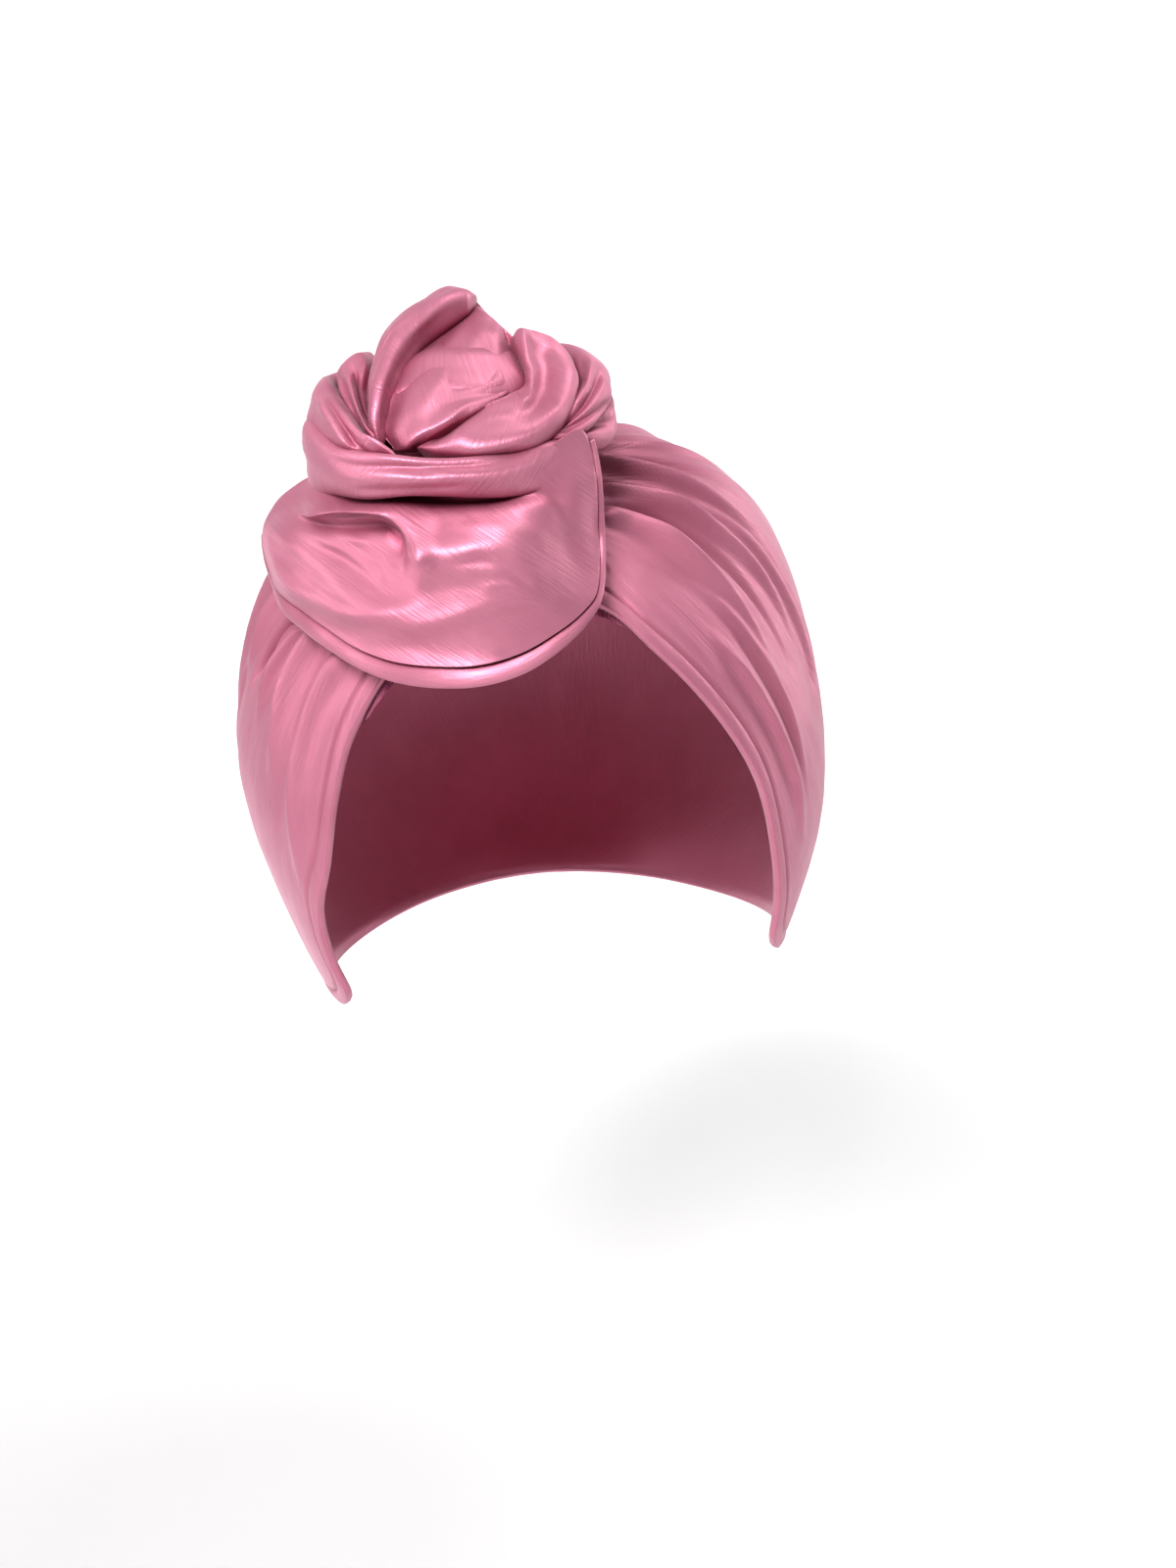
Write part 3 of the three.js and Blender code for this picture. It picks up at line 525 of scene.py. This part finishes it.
def squared(wave, power):
    """A sine or cosine with its rounding made squarer by a power under 1."""
    return np.sign(wave) * np.abs(wave) ** power


def unit(v):
    """Vectors at length 1."""
    return v / np.maximum(np.linalg.norm(v, axis=-1, keepdims=True), 1e-9)


def direction(azimuth, elevation):
    """The way from the middle of the hollow, in degrees from -Y towards +X and upwards."""
    a, e = np.radians(azimuth), np.radians(elevation)
    return np.stack([np.sin(a) * np.cos(e), -np.cos(a) * np.cos(e), np.sin(e) + 0 * a], axis=-1)


def form_point(way, lift):
    """The point that stands off the hollow's form by lift."""
    return way * (HOLLOW_HALF + np.asarray(lift)[..., None]) + HOLLOW_MIDDLE


def nearest_on(points, line):
    """For each point: how far it is from a line of points, how far along the line, and the offset from it."""
    best = np.full(points.shape[:-1], np.inf)
    along = np.zeros(best.shape)
    offset = np.zeros(points.shape)
    for i in range(len(line) - 1):
        run = line[i + 1] - line[i]
        to = points - line[i]
        t = np.clip(to @ run / (run @ run), 0, 1)
        off = to - t[..., None] * run
        distance = np.linalg.norm(off, axis=-1)
        nearer = distance < best
        best = np.where(nearer, distance, best)
        along = np.where(nearer, (i + t) / (len(line) - 1), along)
        offset = np.where(nearer[..., None], off, offset)
    return best, along, offset


def waves(points, length, seed, count=14):
    """A smooth random field from -1 to 1 or so, with bumps about length across."""
    draw = np.random.default_rng(seed)
    total = np.zeros(points.shape[:-1])
    for _ in range(count):
        way = unit(draw.normal(size=points.shape[-1]))
        size = length * draw.uniform(*WAVE_SIZES)
        total += np.sin(2 * np.pi * (points @ way) / size + draw.uniform(0, 2 * np.pi))
    return total / np.sqrt(count / 2) / WAVE_PEAK


def stroke_heights(spot, strokes):
    """What a table of strokes adds at each (x, z): how far out, and how far down."""
    high = np.zeros(spot.shape[:-1])
    lean = np.zeros(spot.shape[:-1])
    for stroke in rows_of(strokes):
        knots = np.array(stroke["points"], float)
        t = np.linspace(0, 1, STROKE_STEPS * (len(knots) - 1) + 1)
        line = np.stack([smooth(knots[:, k], t) for k in (0, 1)], -1)
        distance, along, offset = nearest_on(spot, line)
        spans = len(line) - 1
        run = (line[1:] - line[:-1])[np.clip((along * spans).astype(int), 0, spans - 1)]
        left = run[..., 0] * offset[..., 1] - run[..., 1] * offset[..., 0] > 0
        wide = np.where(left, stroke["left"], stroke["right"])
        shape = np.exp(-((distance / wide) ** stroke["power"]))
        shape *= ease(np.clip(np.minimum(along, 1 - along) / STROKE_FADE, 0, 1))
        high += stroke["high"] * shape
        lean += stroke["lean"] * shape
    return high, lean


def soften(field):
    """Ease the hard lines of a field over a closed grid."""
    for _ in range(SOFTEN_PASSES):
        field = 0.25 * (np.roll(field, 1, 1) + 2 * field + np.roll(field, -1, 1))
        ends = np.concatenate([field[:1], field, field[-1:]])
        field = 0.25 * (ends[:-2] + 2 * field + ends[2:])
    return field


def three_points(a, b, c):
    """A curve from a by way of b to c."""
    t = np.linspace(0, 1, GATHER_STEPS + 1)[:, None]
    return (1 - t) * (1 - 2 * t) * a + 4 * t * (1 - t) * b + t * (2 * t - 1) * c


def grid_faces(rows, columns, closed):
    """The faces of a grid of points. Closed joins its last column to its first."""
    r, c = np.meshgrid(np.arange(rows - 1), np.arange(columns if closed else columns - 1), indexing="ij")
    c1 = (c + 1) % columns
    quads = np.stack([r * columns + c, r * columns + c1, (r + 1) * columns + c1, (r + 1) * columns + c], -1)
    return quads.reshape(-1, 4).tolist()


def make_mesh(name, points, faces):
    """A smooth object from points in millimetres."""
    mesh = bpy.data.meshes.new(name)
    mesh.from_pydata((points * MM).tolist(), [], faces)
    mesh.update()
    mesh.polygons.foreach_set("use_smooth", np.ones(len(mesh.polygons), bool))
    obj = bpy.data.objects.new(name, mesh)
    bpy.context.scene.collection.objects.link(obj)
    return obj


def make_piece(name, grid, uv):
    """A closed piece of cloth from a grid that joins up sideways, with a point to close each end."""
    rows, columns = grid.shape[:2]
    first_tip = rows * columns
    last_row = first_tip - columns
    faces = grid_faces(rows, columns, closed=True)
    for k in range(columns):
        faces.append([first_tip, (k + 1) % columns, k])
    for k in range(columns):
        faces.append([first_tip + 1, last_row + k, last_row + (k + 1) % columns])
    tips = np.stack([grid[0].mean(0), grid[-1].mean(0)])
    obj = make_mesh(name, np.concatenate([grid.reshape(-1, 3), tips]), faces)
    mesh = obj.data
    flat = uv.reshape(-1, 2)
    flat = np.concatenate([flat, np.repeat(flat[:1], len(tips), 0)])
    index = np.zeros(len(mesh.loops), int)
    mesh.loops.foreach_get("vertex_index", index)
    mesh.uv_layers.new(name="cloth").data.foreach_set("uv", flat[index].ravel())
    face_outwards(mesh)
    return obj


def face_outwards(mesh):
    """Turn the faces so that the closed mesh holds a positive volume."""
    mesh.calc_loop_triangles()
    corners = np.zeros(len(mesh.loop_triangles) * 3, int)
    mesh.loop_triangles.foreach_get("vertices", corners)
    co = np.zeros(len(mesh.vertices) * 3)
    mesh.vertices.foreach_get("co", co)
    a, b, c = np.moveaxis(co.reshape(-1, 3)[corners.reshape(-1, 3)], 1, 0)
    if np.sum(a * np.cross(b, c)) < 0:
        mesh.flip_normals()


def cap_surface(way):
    """How far the cap stands off the hollow's form in each direction, and how far its gathers stand up."""
    point = form_point(way, 0.0)
    lift = np.full(way.shape[:-1], CAP_WALL)
    for bulge in rows_of(CAP_BULGES):
        middle = direction(bulge["azimuth"], bulge["elevation"])
        angle = np.degrees(np.arccos(np.clip(way @ middle, -1, 1)))
        lift += bulge["lift"] * np.exp(-((angle / bulge["spread"]) ** 2))
    gathered = np.zeros(lift.shape)
    normal = unit(way / HOLLOW_HALF)
    for fold in rows_of(GATHERS):
        ends = [direction(fold[f"az{k}"], fold[f"el{k}"]) for k in range(3)]
        line = form_point(unit(three_points(*ends)), 0.0)
        distance, along, offset = nearest_on(point, line)
        step = np.clip((along * GATHER_STEPS).round().astype(int), 0, GATHER_STEPS)
        run = unit(np.gradient(line, axis=0))[step]
        side = np.einsum("...i,...i", offset, np.cross(normal, run))
        wide = np.where(side > 0, fold["left"], fold["right"])
        fade = ease(np.clip(np.minimum((along + GATHER_LEAD) / GATHER_RISE, (1 - along) / GATHER_FALL), 0, 1))
        gathered += fold["high"] * fade * np.exp(-((distance / wide) ** 2))
    return lift, gathered


def slerp(a, b, t):
    """Directions on the great circle from a to b."""
    angle = np.arccos(np.clip(np.sum(a * b, -1), -1, 1))[..., None]
    return (np.sin((1 - t) * angle) * a + np.sin(t * angle) * b) / np.sin(angle)


def from_knot(way):
    """Degrees away from the knot over the hollow's form, and the turn round the knot from the brow."""
    knot = unit(KNOT_MIDDLE - HOLLOW_MIDDLE)
    side = unit(np.cross(UP, knot))
    off = np.degrees(np.arccos(np.clip(way @ knot, -1, 1)))
    return off, np.arctan2(way @ side, -way @ np.cross(knot, side))


def cap_side(pole, rim, rows, inside):
    """The cap's outer or inner face, in rows of points from its pole to its rim."""
    t = (np.arange(1, rows + 1) / rows)[:, None, None] ** ROW_POWER
    way = slerp(pole[None], rim[None], t)
    lift, gathered = cap_surface(way)
    off, turn = from_knot(way)
    fan = np.stack([np.cos(turn) * FAN_WIDE, np.sin(turn) * FAN_WIDE, off * FAN_LONG], -1)
    near = np.maximum(FAN_MOST * np.exp(-((off - FAN_PEAK) / FAN_REACH) ** 2), FAN_LEAST)
    gathered = gathered + waves(fan, CAP_WAVE, CAP_SEED) * near * CAP_WAVE_HIGH
    ripple = waves(fan, CAP_RIPPLE, CAP_SEED + 1) * CAP_RIPPLE_HIGH
    gathered = gathered + ripple * np.exp(-(off / CAP_RIPPLE_REACH) ** 2)
    from_rim = np.degrees(np.arccos(np.clip(np.sum(way * rim, -1), -1, 1))) * MM_PER_DEGREE
    for high, away, wide in HEM:
        gathered = gathered + high * np.exp(-(((from_rim - away) / wide) ** 2))
    if inside:
        return form_point(way, lift - CAP_WALL + INSIDE_SHARE * gathered)
    return form_point(way, lift + gathered)


def make_cap():
    """The gathered cap: its outside, a rounded lip and its inside."""
    u = np.arange(CAP_AROUND) / CAP_AROUND
    azimuth = smooth([*CAP_RIM["azimuth"], CAP_RIM["azimuth"][0] + 360], u)
    rim = direction(azimuth, smooth(CAP_RIM["elevation"], u, closed=True))
    pole = np.broadcast_to(direction(*CAP_POLE), rim.shape)
    outer = cap_side(pole, rim, CAP_OUTSIDE, False)
    inner = cap_side(pole, rim, CAP_INSIDE, True)
    lip = 0.5 * (outer[-1] + inner[-1]) + LIP_ROUND * unit(outer[-1] - outer[-2])
    grid = np.concatenate([outer, lip[None], inner[::-1]])
    off, turn = from_knot(unit((grid - HOLLOW_MIDDLE) / HOLLOW_HALF))
    uv = np.stack([turn * FAN_WIDE, np.radians(off) * HOLLOW_HALF[2]], -1) * MM
    return make_piece("crown_cap_cloth", grid, uv)


def make_band():
    """The knitted band inside the brow edge."""
    t = np.linspace(0, 1, BAND_ALONG)
    azimuth, low, high = (smooth(BAND[name], t) for name in ("azimuth", "low", "high"))
    a = turns(BAND_AROUND)
    middle, half = (low + high) / 2, (high - low) / 2
    elevation = middle[:, None] + half[:, None] * squared(np.cos(a), BAND_SQUARE)
    way = direction(azimuth[:, None] + 0 * elevation, elevation)
    lift = -BAND_INSET - BAND_WALL / 2 + BAND_WALL / 2 * np.sin(a)[None] * np.ones((BAND_ALONG, 1))
    girth, length = BAND_CLOTH
    uv = np.stack(np.meshgrid(np.arange(BAND_AROUND) / BAND_AROUND * girth, t * length), -1)
    return make_piece("forehead_band_knit", form_point(way, lift), uv)


def flap_base(x, z):
    """Where the hanging end lies before its relief: a curve round the brow that leans out downwards."""
    t = np.clip((x - CURVE_MIDDLE_X) / CURVE_HALF_WIDE, -CURVE_MOST, CURVE_MOST)
    y = CURVE_FRONT_Y + CURVE_DEEP * (1 - np.sqrt(1 - t * t)) + (z - LEAN_FROM_Z) / LEAN_RISE
    return np.stack([x, y, z], -1)


def flap_relief(x, z):
    """The relief table at each (x, z), smoothly between its sections and its heights."""
    places = RELIEF["x"]
    spans = len(RELIEF_HEIGHTS) - 1
    at = np.clip((x - places[0]) / (places[-1] - places[0]), 0, 1)
    columns = np.stack([smooth(RELIEF[f"at{-height}"], at) for height in RELIEF_HEIGHTS], -1)
    down = np.clip((RELIEF_HEIGHTS[0] - z) / (RELIEF_HEIGHTS[0] - RELIEF_HEIGHTS[-1]), 0, 1)
    i = np.clip((down * spans).astype(int), 0, spans - 1)
    padded = np.concatenate([columns[..., :1], columns, columns[..., -1:]], -1)
    a, b, c, d = (np.take_along_axis(padded, (i + k)[..., None], -1)[..., 0] for k in range(4))
    return catmull_rom(a, b, c, d, down * spans - i)


def flap_point(x, z):
    """The face of the hanging end with its tucks, and its plain form's normal."""
    step = 0.5
    dx = flap_base(x + step, z) - flap_base(x - step, z)
    dz = flap_base(x, z + step) - flap_base(x, z - step)
    normal = unit(np.cross(dx, dz))
    under_roll = np.clip((z - TUCK_FROM_Z) / TUCK_HIGH, 0, 1) ** 2
    tuck = TUCK_DEEP * under_roll * np.clip((TUCK_END_X - x) / TUCK_FADE, 0, 1)
    high, lean = stroke_heights(np.stack([x, z], -1), FLAP_STROKES)
    straight = np.clip((x - STRAIGHT_FROM_X) / STRAIGHT_OVER, 0, 1)[..., None]
    forward = unit(normal * (1 - straight) + np.array([0, -1.0, 0]) * straight)
    out = flap_base(x, z) + normal * (high - tuck)[..., None] + forward * flap_relief(x, z)[..., None]
    out[..., 2] -= lean
    return out, normal


def flap_outline(u):
    """The hanging end's outline as x and z, from the seam's first point all the way round."""
    x = smooth([*FLAP_SEAM["x"], *FLAP_TOP["x"]], u, closed=True)
    return x, smooth([*FLAP_SEAM["z"], *FLAP_TOP["z"]], u, closed=True)


def on_bias(x, y):
    """Texture coordinates in metres for cloth whose threads run across its length at an angle."""
    c, d = np.cos(GRAIN_TURN), np.sin(GRAIN_TURN)
    return np.stack([c * x + d * y, c * y - d * x], -1) * MM


def make_flap():
    """The hanging end inside its seam: rings of points from its middle out, in front and behind."""
    edge = np.stack(flap_outline(np.arange(FLAP_AROUND) / FLAP_AROUND), -1)
    t = (np.arange(1, FLAP_OUT + 1) / FLAP_OUT)[:, None, None]
    spot = FLAP_MIDDLE + (edge[None] - FLAP_MIDDLE) * t
    face, normal = flap_point(spot[..., 0], spot[..., 1])
    plain = flap_base(spot[..., 0], spot[..., 1])
    face = plain + soften(face - plain)
    wave = waves(spot, CLOTH_WAVE, FLAP_SEED) * CLOTH_WAVE_HIGH
    ripple = waves(spot, CLOTH_RIPPLE, FLAP_SEED + 1, RIPPLE_COUNT) * FLAP_RIPPLE_HIGH
    face = face + normal * (wave + ripple)[..., None]
    back = (face - normal * FLAP_WALL)[::-FLAP_BACK_STEP]
    lip = (0.5 * (face[-1] + back[0]))[None]
    grid = np.concatenate([face, lip, back])
    return make_piece("hanging_end_cloth", grid, on_bias(grid[..., 0], grid[..., 2]))


def make_flap_edge():
    """The puffed border along the hanging end's seam."""
    corners = len(FLAP_SEAM["x"])
    last = (corners - 1) / (corners + len(FLAP_TOP["x"]))
    t = np.linspace(0, 1, EDGE_ALONG)
    face, normal = flap_point(*flap_outline(t * last))
    half = smooth(FLAP_SEAM["edge"], t) / 2
    outward = unit(np.cross(normal, unit(np.gradient(face, axis=0))))
    outward *= np.sign(np.sum(outward * (face - face.mean(0)), -1, keepdims=True))
    base = face - normal * EDGE_HALF_THICK + outward * half[:, None]
    a = turns(EDGE_AROUND)
    grid = (
        base[:, None]
        + outward[:, None] * (half[:, None, None] * np.cos(a)[None, :, None])
        + normal[:, None] * (EDGE_HALF_THICK * np.sin(a)[None, :, None])
    )
    girth, length = EDGE_CLOTH
    uv = np.stack(np.meshgrid(np.arange(EDGE_AROUND) / EDGE_AROUND * girth, t * length), -1)
    return make_piece("end_seam_edge_cloth", grid, uv)


def view_point():
    """Where the camera is."""
    return HOLLOW_MIDDLE + direction(VIEW_AZIMUTH, VIEW_ELEVATION) * VIEW_DISTANCE


def sculpt(grid, strokes):
    """Press strokes into the side of a fold that the camera sees."""
    across = np.roll(grid, -1, 1) - np.roll(grid, 1, 1)
    normal = unit(np.cross(np.gradient(grid, axis=0), across))
    if np.sum(normal * (grid - grid.mean((0, 1)))) < 0:
        normal = -normal
    eye = view_point()
    toward = unit(eye - grid)
    reach = (KNOT_PLANE - eye[1]) / (grid[..., 1] - eye[1])
    spot = (eye + (grid - eye) * reach[..., None])[..., [0, 2]]
    high, lean = stroke_heights(spot, strokes)
    seen = np.clip(np.sum(normal * toward, -1) * SEEN_GAIN, 0, 1)
    out = grid + (0.5 * toward + 0.5 * normal) * soften(high * seen)[..., None]
    out[..., 2] -= soften(lean * seen)
    return out


def make_fold(name, rows):
    """One fold of the knot through its sections, with its strokes."""
    i = np.arange(FOLD_ALONG)
    t = 0.5 - 0.5 * np.cos(np.pi * (i + END_GAP) / (FOLD_ALONG - 1 + 2 * END_GAP))
    edges = [np.stack([smooth(rows[axis + k], t) for axis in "xyz"], -1) for k in "01"]
    middle = (edges[0] + edges[1]) / 2
    across = edges[1] - edges[0]
    run = unit(np.gradient(middle, axis=0))
    out = unit(np.cross(across, run))
    out *= np.sign(np.sum(out * (middle - KNOT_MIDDLE), -1, keepdims=True))
    half = np.linalg.norm(across, axis=-1) / 2
    across = unit(across)
    nearest_end = np.minimum(t, 1 - t) * (len(rows["x0"]) - 1)
    rounding = np.sqrt(1 - (1 - np.minimum(1, nearest_end / END_ROUND)) ** 2)
    a = turns(FOLD_AROUND)
    front = np.sin(a) > 0
    deep = np.where(front, smooth(rows["face"], t)[:, None], smooth(rows["back"], t)[:, None])
    skew = 1 + SKEW.get(name, 0) * np.where(front, np.cos(a), 0)
    wide = (half * rounding)[:, None] * squared(np.cos(a), FOLD_SQUARE_WIDE)
    tall = deep * rounding[:, None] * squared(np.sin(a), FOLD_SQUARE_TALL) * skew
    grid = middle[:, None] + across[:, None] * wide[..., None] + out[:, None] * tall[..., None]
    normal = out[:, None] * np.sin(a)[None, :, None] + across[:, None] * np.cos(a)[None, :, None]
    lengthwise = np.stack([t[:, None] * FOLD_RIPPLE_LONG + 0 * wide, wide, 0 * wide], -1)
    seed = sum(map(ord, name))
    wave = waves(grid, CLOTH_WAVE, seed) * CLOTH_WAVE_HIGH
    ripple = waves(lengthwise, CLOTH_RIPPLE, seed + 1, RIPPLE_COUNT) * FOLD_RIPPLE_HIGH
    grid = grid + normal * (wave + ripple)[..., None]
    if name in KNOT_STROKES:
        grid = sculpt(grid, KNOT_STROKES[name])
    length = np.concatenate([[0], np.cumsum(np.linalg.norm(np.diff(middle, axis=0), axis=1))])
    uv = on_bias(wide, np.repeat(length[:, None], FOLD_AROUND, 1))
    return make_piece(name + "_cloth", grid, uv)


def make_core():
    """The gathered cloth inside the knot."""
    down = np.linspace(CORE_POLE_GAP, np.pi - CORE_POLE_GAP, CORE_ALONG)
    v, u = np.meshgrid(down, turns(CORE_AROUND), indexing="ij")
    way = np.stack([np.sin(v) * np.cos(u), np.sin(v) * np.sin(u), np.cos(v)], -1)
    uneven = 1 + CORE_UNEVEN * waves(way * CORE_WAVE_AREA, CLOTH_RIPPLE, CORE_SEED)
    grid = way * CORE_HALF * uneven[..., None] + CORE_MIDDLE
    return make_piece("inner_twist_cloth", grid, np.stack([u, v], -1) * CORE_CLOTH)


def set_sockets(node, sockets):
    """Set a node's own sockets by name."""
    for name, value in sockets.items():
        node.inputs[name].default_value = value


def new_material(name, sockets):
    """A material with its shader's own sockets set, its node tree and the shader."""
    material = bpy.data.materials.new(name)
    material.use_nodes = True
    shader = material.node_tree.nodes["Principled BSDF"]
    set_sockets(shader, sockets)
    return material, material.node_tree, shader


def add_node(tree, kind, sockets=None, **options):
    """A new node with its options and its own sockets set."""
    node = tree.nodes.new(kind)
    for name, value in options.items():
        setattr(node, name, value)
    set_sockets(node, sockets or {})
    return node


def link(source, output, target, socket):
    """Join one node's output to another's socket."""
    source.id_data.links.new(source.outputs[output], target.inputs[socket])


def satin_material():
    """Pink satin: a mottled colour, painted shade darkening its creases, and gloss and relief that change
    between threads.
    """
    material, tree, shader = new_material("satin", SATIN_SHADER)
    where = add_node(tree, "ShaderNodeTexCoord")
    along_threads = add_node(tree, "ShaderNodeTangent", direction_type="UV_MAP", uv_map="cloth")
    link(along_threads, "Tangent", shader, "Tangent")
    mottle = add_node(tree, "ShaderNodeTexNoise", {"Scale": 60, "Detail": 4})
    link(where, "Object", mottle, "Vector")
    colour = add_node(tree, "ShaderNodeMix", {"A": SATIN_DARK, "B": SATIN_LIGHT}, data_type="RGBA")
    link(mottle, "Fac", colour, "Factor")
    # Painted shade: where ambient occlusion finds nearby cloth, the colour turns towards the dark crease
    # shade.
    shade_occlusion = add_node(tree, "ShaderNodeAmbientOcclusion", {"Distance": SHADE_OCCLUSION_REACH}, samples=SHADE_OCCLUSION_SAMPLES)
    unshaded_share = add_node(tree, "ShaderNodeMapRange", {"From Min": UNSHADED_FROM, "From Max": UNSHADED_TO})
    link(shade_occlusion, "AO", unshaded_share, "Value")
    painted_shade = add_node(tree, "ShaderNodeMix", {"A": SATIN_PAINTED_SHADE}, data_type="RGBA")
    link(unshaded_share, "Result", painted_shade, "Factor")
    link(colour, "Result", painted_shade, "B")
    link(painted_shade, "Result", shader, "Base Color")
    stretch = add_node(tree, "ShaderNodeMapping", {"Scale": THREADS})
    link(where, "UV", stretch, "Vector")
    slub = add_node(tree, "ShaderNodeTexNoise", {"Scale": 1, "Detail": 3})
    link(stretch, "Vector", slub, "Vector")
    smoothest, roughest = SATIN_GLOSS
    gloss = add_node(
        tree,
        "ShaderNodeMapRange",
        {"From Min": 0.3, "From Max": 0.7, "To Min": smoothest, "To Max": roughest},
    )
    link(slub, "Fac", gloss, "Value")
    link(gloss, "Result", shader, "Roughness")
    grain = add_node(tree, "ShaderNodeTexNoise", {"Scale": 2400, "Detail": 2})
    link(where, "Object", grain, "Vector")
    bump = add_node(tree, "ShaderNodeBump", {"Strength": 0.32, "Distance": 0.0006})
    link(slub, "Fac", bump, "Height")
    fine = add_node(tree, "ShaderNodeBump", {"Strength": 0.2, "Distance": 0.0002})
    link(grain, "Fac", fine, "Height")
    link(bump, "Normal", fine, "Normal")
    link(fine, "Normal", shader, "Normal")
    return material


def knit_material():
    """Ribbed knit: fine ribs across the band, and rows of stitches along each rib."""
    material, tree, shader = new_material("knit", {"Sheen Weight": 0.3})
    where = add_node(tree, "ShaderNodeTexCoord")
    ribs = add_node(
        tree,
        "ShaderNodeTexWave",
        {"Scale": KNIT_RIBS, "Distortion": 0.4},
        wave_type="BANDS",
        bands_direction="Y",
    )
    link(where, "UV", ribs, "Vector")
    rows = add_node(
        tree,
        "ShaderNodeTexWave",
        {"Scale": KNIT_ROWS, "Distortion": 1},
        wave_type="BANDS",
        bands_direction="X",
    )
    link(where, "UV", rows, "Vector")
    both = add_node(tree, "ShaderNodeMath", operation="MULTIPLY")
    link(ribs, "Fac", both, 0)
    link(rows, "Fac", both, 1)
    colour = add_node(tree, "ShaderNodeMix", {"A": KNIT_DARK, "B": KNIT_LIGHT}, data_type="RGBA")
    link(both, "Value", colour, "Factor")
    link(colour, "Result", shader, "Base Color")
    between, on_stitches = KNIT_GLOSS
    gloss = add_node(tree, "ShaderNodeMapRange", {"To Min": between, "To Max": on_stitches})
    link(both, "Value", gloss, "Value")
    link(gloss, "Result", shader, "Roughness")
    bump = add_node(tree, "ShaderNodeBump", {"Strength": 0.8, "Distance": 0.0005})
    link(both, "Value", bump, "Height")
    link(bump, "Normal", shader, "Normal")
    return material


def stand(obj, node, material):
    """Put a piece in place of its node, on the one body, with its finish."""
    obj.data.materials.append(material)
    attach(obj, "root")
    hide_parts(node)
    return obj


def put_down(name, data, axes, place):
    """An object with its axes as columns and its place in metres."""
    matrix = np.eye(4)
    matrix[:3, :3] = axes
    matrix[:3, 3] = place
    obj = bpy.data.objects.new(name, data)
    obj.matrix_world = Matrix(matrix.tolist())
    bpy.context.scene.collection.objects.link(obj)
    return obj


def make_camera():
    """The photograph's camera, turned until the middle of the hollow falls on its pixel."""
    back = direction(VIEW_AZIMUTH, VIEW_ELEVATION)
    right = unit(np.cross(UP, back))
    above = np.cross(back, right)
    c, s = np.cos(np.radians(VIEW_ROLL)), np.sin(np.radians(VIEW_ROLL))
    rolled = np.stack([c * right - s * above, s * right + c * above, back], 1)
    ahead = np.array([0, 0, -1.0])
    aim = unit(np.array([
        (MIDDLE_PIXEL[0] - PICTURE_WIDE / 2) / LENS_PIXELS,
        -(MIDDLE_PIXEL[1] - PICTURE_HIGH / 2) / LENS_PIXELS,
        -1.0,
    ]))
    x, y, z = np.cross(aim, ahead)
    cross = np.array([[0, -z, y], [z, 0, -x], [-y, x, 0]])
    to_pixel = np.eye(3) + cross + cross @ cross / (1 + aim @ ahead)
    camera = bpy.data.cameras.new("camera")
    camera.sensor_fit = "VERTICAL"
    camera.sensor_height = SENSOR_HIGH
    camera.lens = SENSOR_HIGH * LENS_PIXELS / PICTURE_HIGH
    camera.clip_start = NEAREST_SEEN
    bpy.context.scene.camera = put_down("camera", camera, rolled @ to_pixel, view_point() * MM)


def make_light(name, place, aim, size, watts, spread):
    """A soft rectangular light that faces its aim."""
    data = bpy.data.lights.new(name, "AREA")
    data.shape = "RECTANGLE"
    data.size, data.size_y = size
    data.energy = watts
    data.spread = np.radians(spread)
    back = -unit(np.array(aim, float) - np.array(place, float))
    right = unit(np.cross(UP, back))
    put_down(name, data, np.stack([right, np.cross(back, right), back], 1), place)


def make_stage():
    """The pale floor."""
    y, z = np.array(FLOOR_PROFILE).T
    t = np.linspace(0, 1, FLOOR_STEPS)
    grid = np.zeros((FLOOR_STEPS, FLOOR_COLUMNS, 3))
    grid[..., 0] = np.linspace(-FLOOR_HALF_WIDE, FLOOR_HALF_WIDE, FLOOR_COLUMNS)
    grid[..., 1] = smooth(y, t)[:, None]
    grid[..., 2] = np.maximum(smooth(z, t), 0)[:, None] + FLOOR_Z
    faces = grid_faces(FLOOR_STEPS, FLOOR_COLUMNS, closed=False)
    floor = make_mesh("studio_floor", grid.reshape(-1, 3) / MM, faces)
    floor.data.materials.append(new_material("studio", FLOOR_SHADER)[0])


def make_lights():
    """The studio's lights and a faint even light from all round."""
    for name, row in LIGHTS.items():
        make_light(name, *row)
    world = bpy.data.worlds.new("studio")
    world.use_nodes = True
    set_sockets(world.node_tree.nodes["Background"], {"Color": (1, 1, 1, 1), "Strength": SKY_LIGHT})
    bpy.context.scene.world = world
    bpy.context.scene.view_settings.view_transform = "Standard"


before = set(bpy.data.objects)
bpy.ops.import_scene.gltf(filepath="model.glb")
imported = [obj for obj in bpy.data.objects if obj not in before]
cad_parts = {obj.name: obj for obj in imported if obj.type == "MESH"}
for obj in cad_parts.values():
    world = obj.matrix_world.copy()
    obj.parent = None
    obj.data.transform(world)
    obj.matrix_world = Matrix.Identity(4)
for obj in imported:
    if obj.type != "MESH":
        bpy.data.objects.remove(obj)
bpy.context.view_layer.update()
satin = satin_material()
knit = knit_material()
cap = stand(make_cap(), "crown_cap", satin)
band = stand(make_band(), "forehead_band", knit)
flap = stand(make_flap(), "hanging_end", satin)
flap_edge = stand(make_flap_edge(), "end_seam_edge", satin)
wound = [stand(make_fold(fold_name, rows), fold_name, satin) for fold_name, rows in FOLDS.items()]
wound.append(stand(make_core(), "inner_twist", satin))
make_camera()
make_lights()
make_stage()
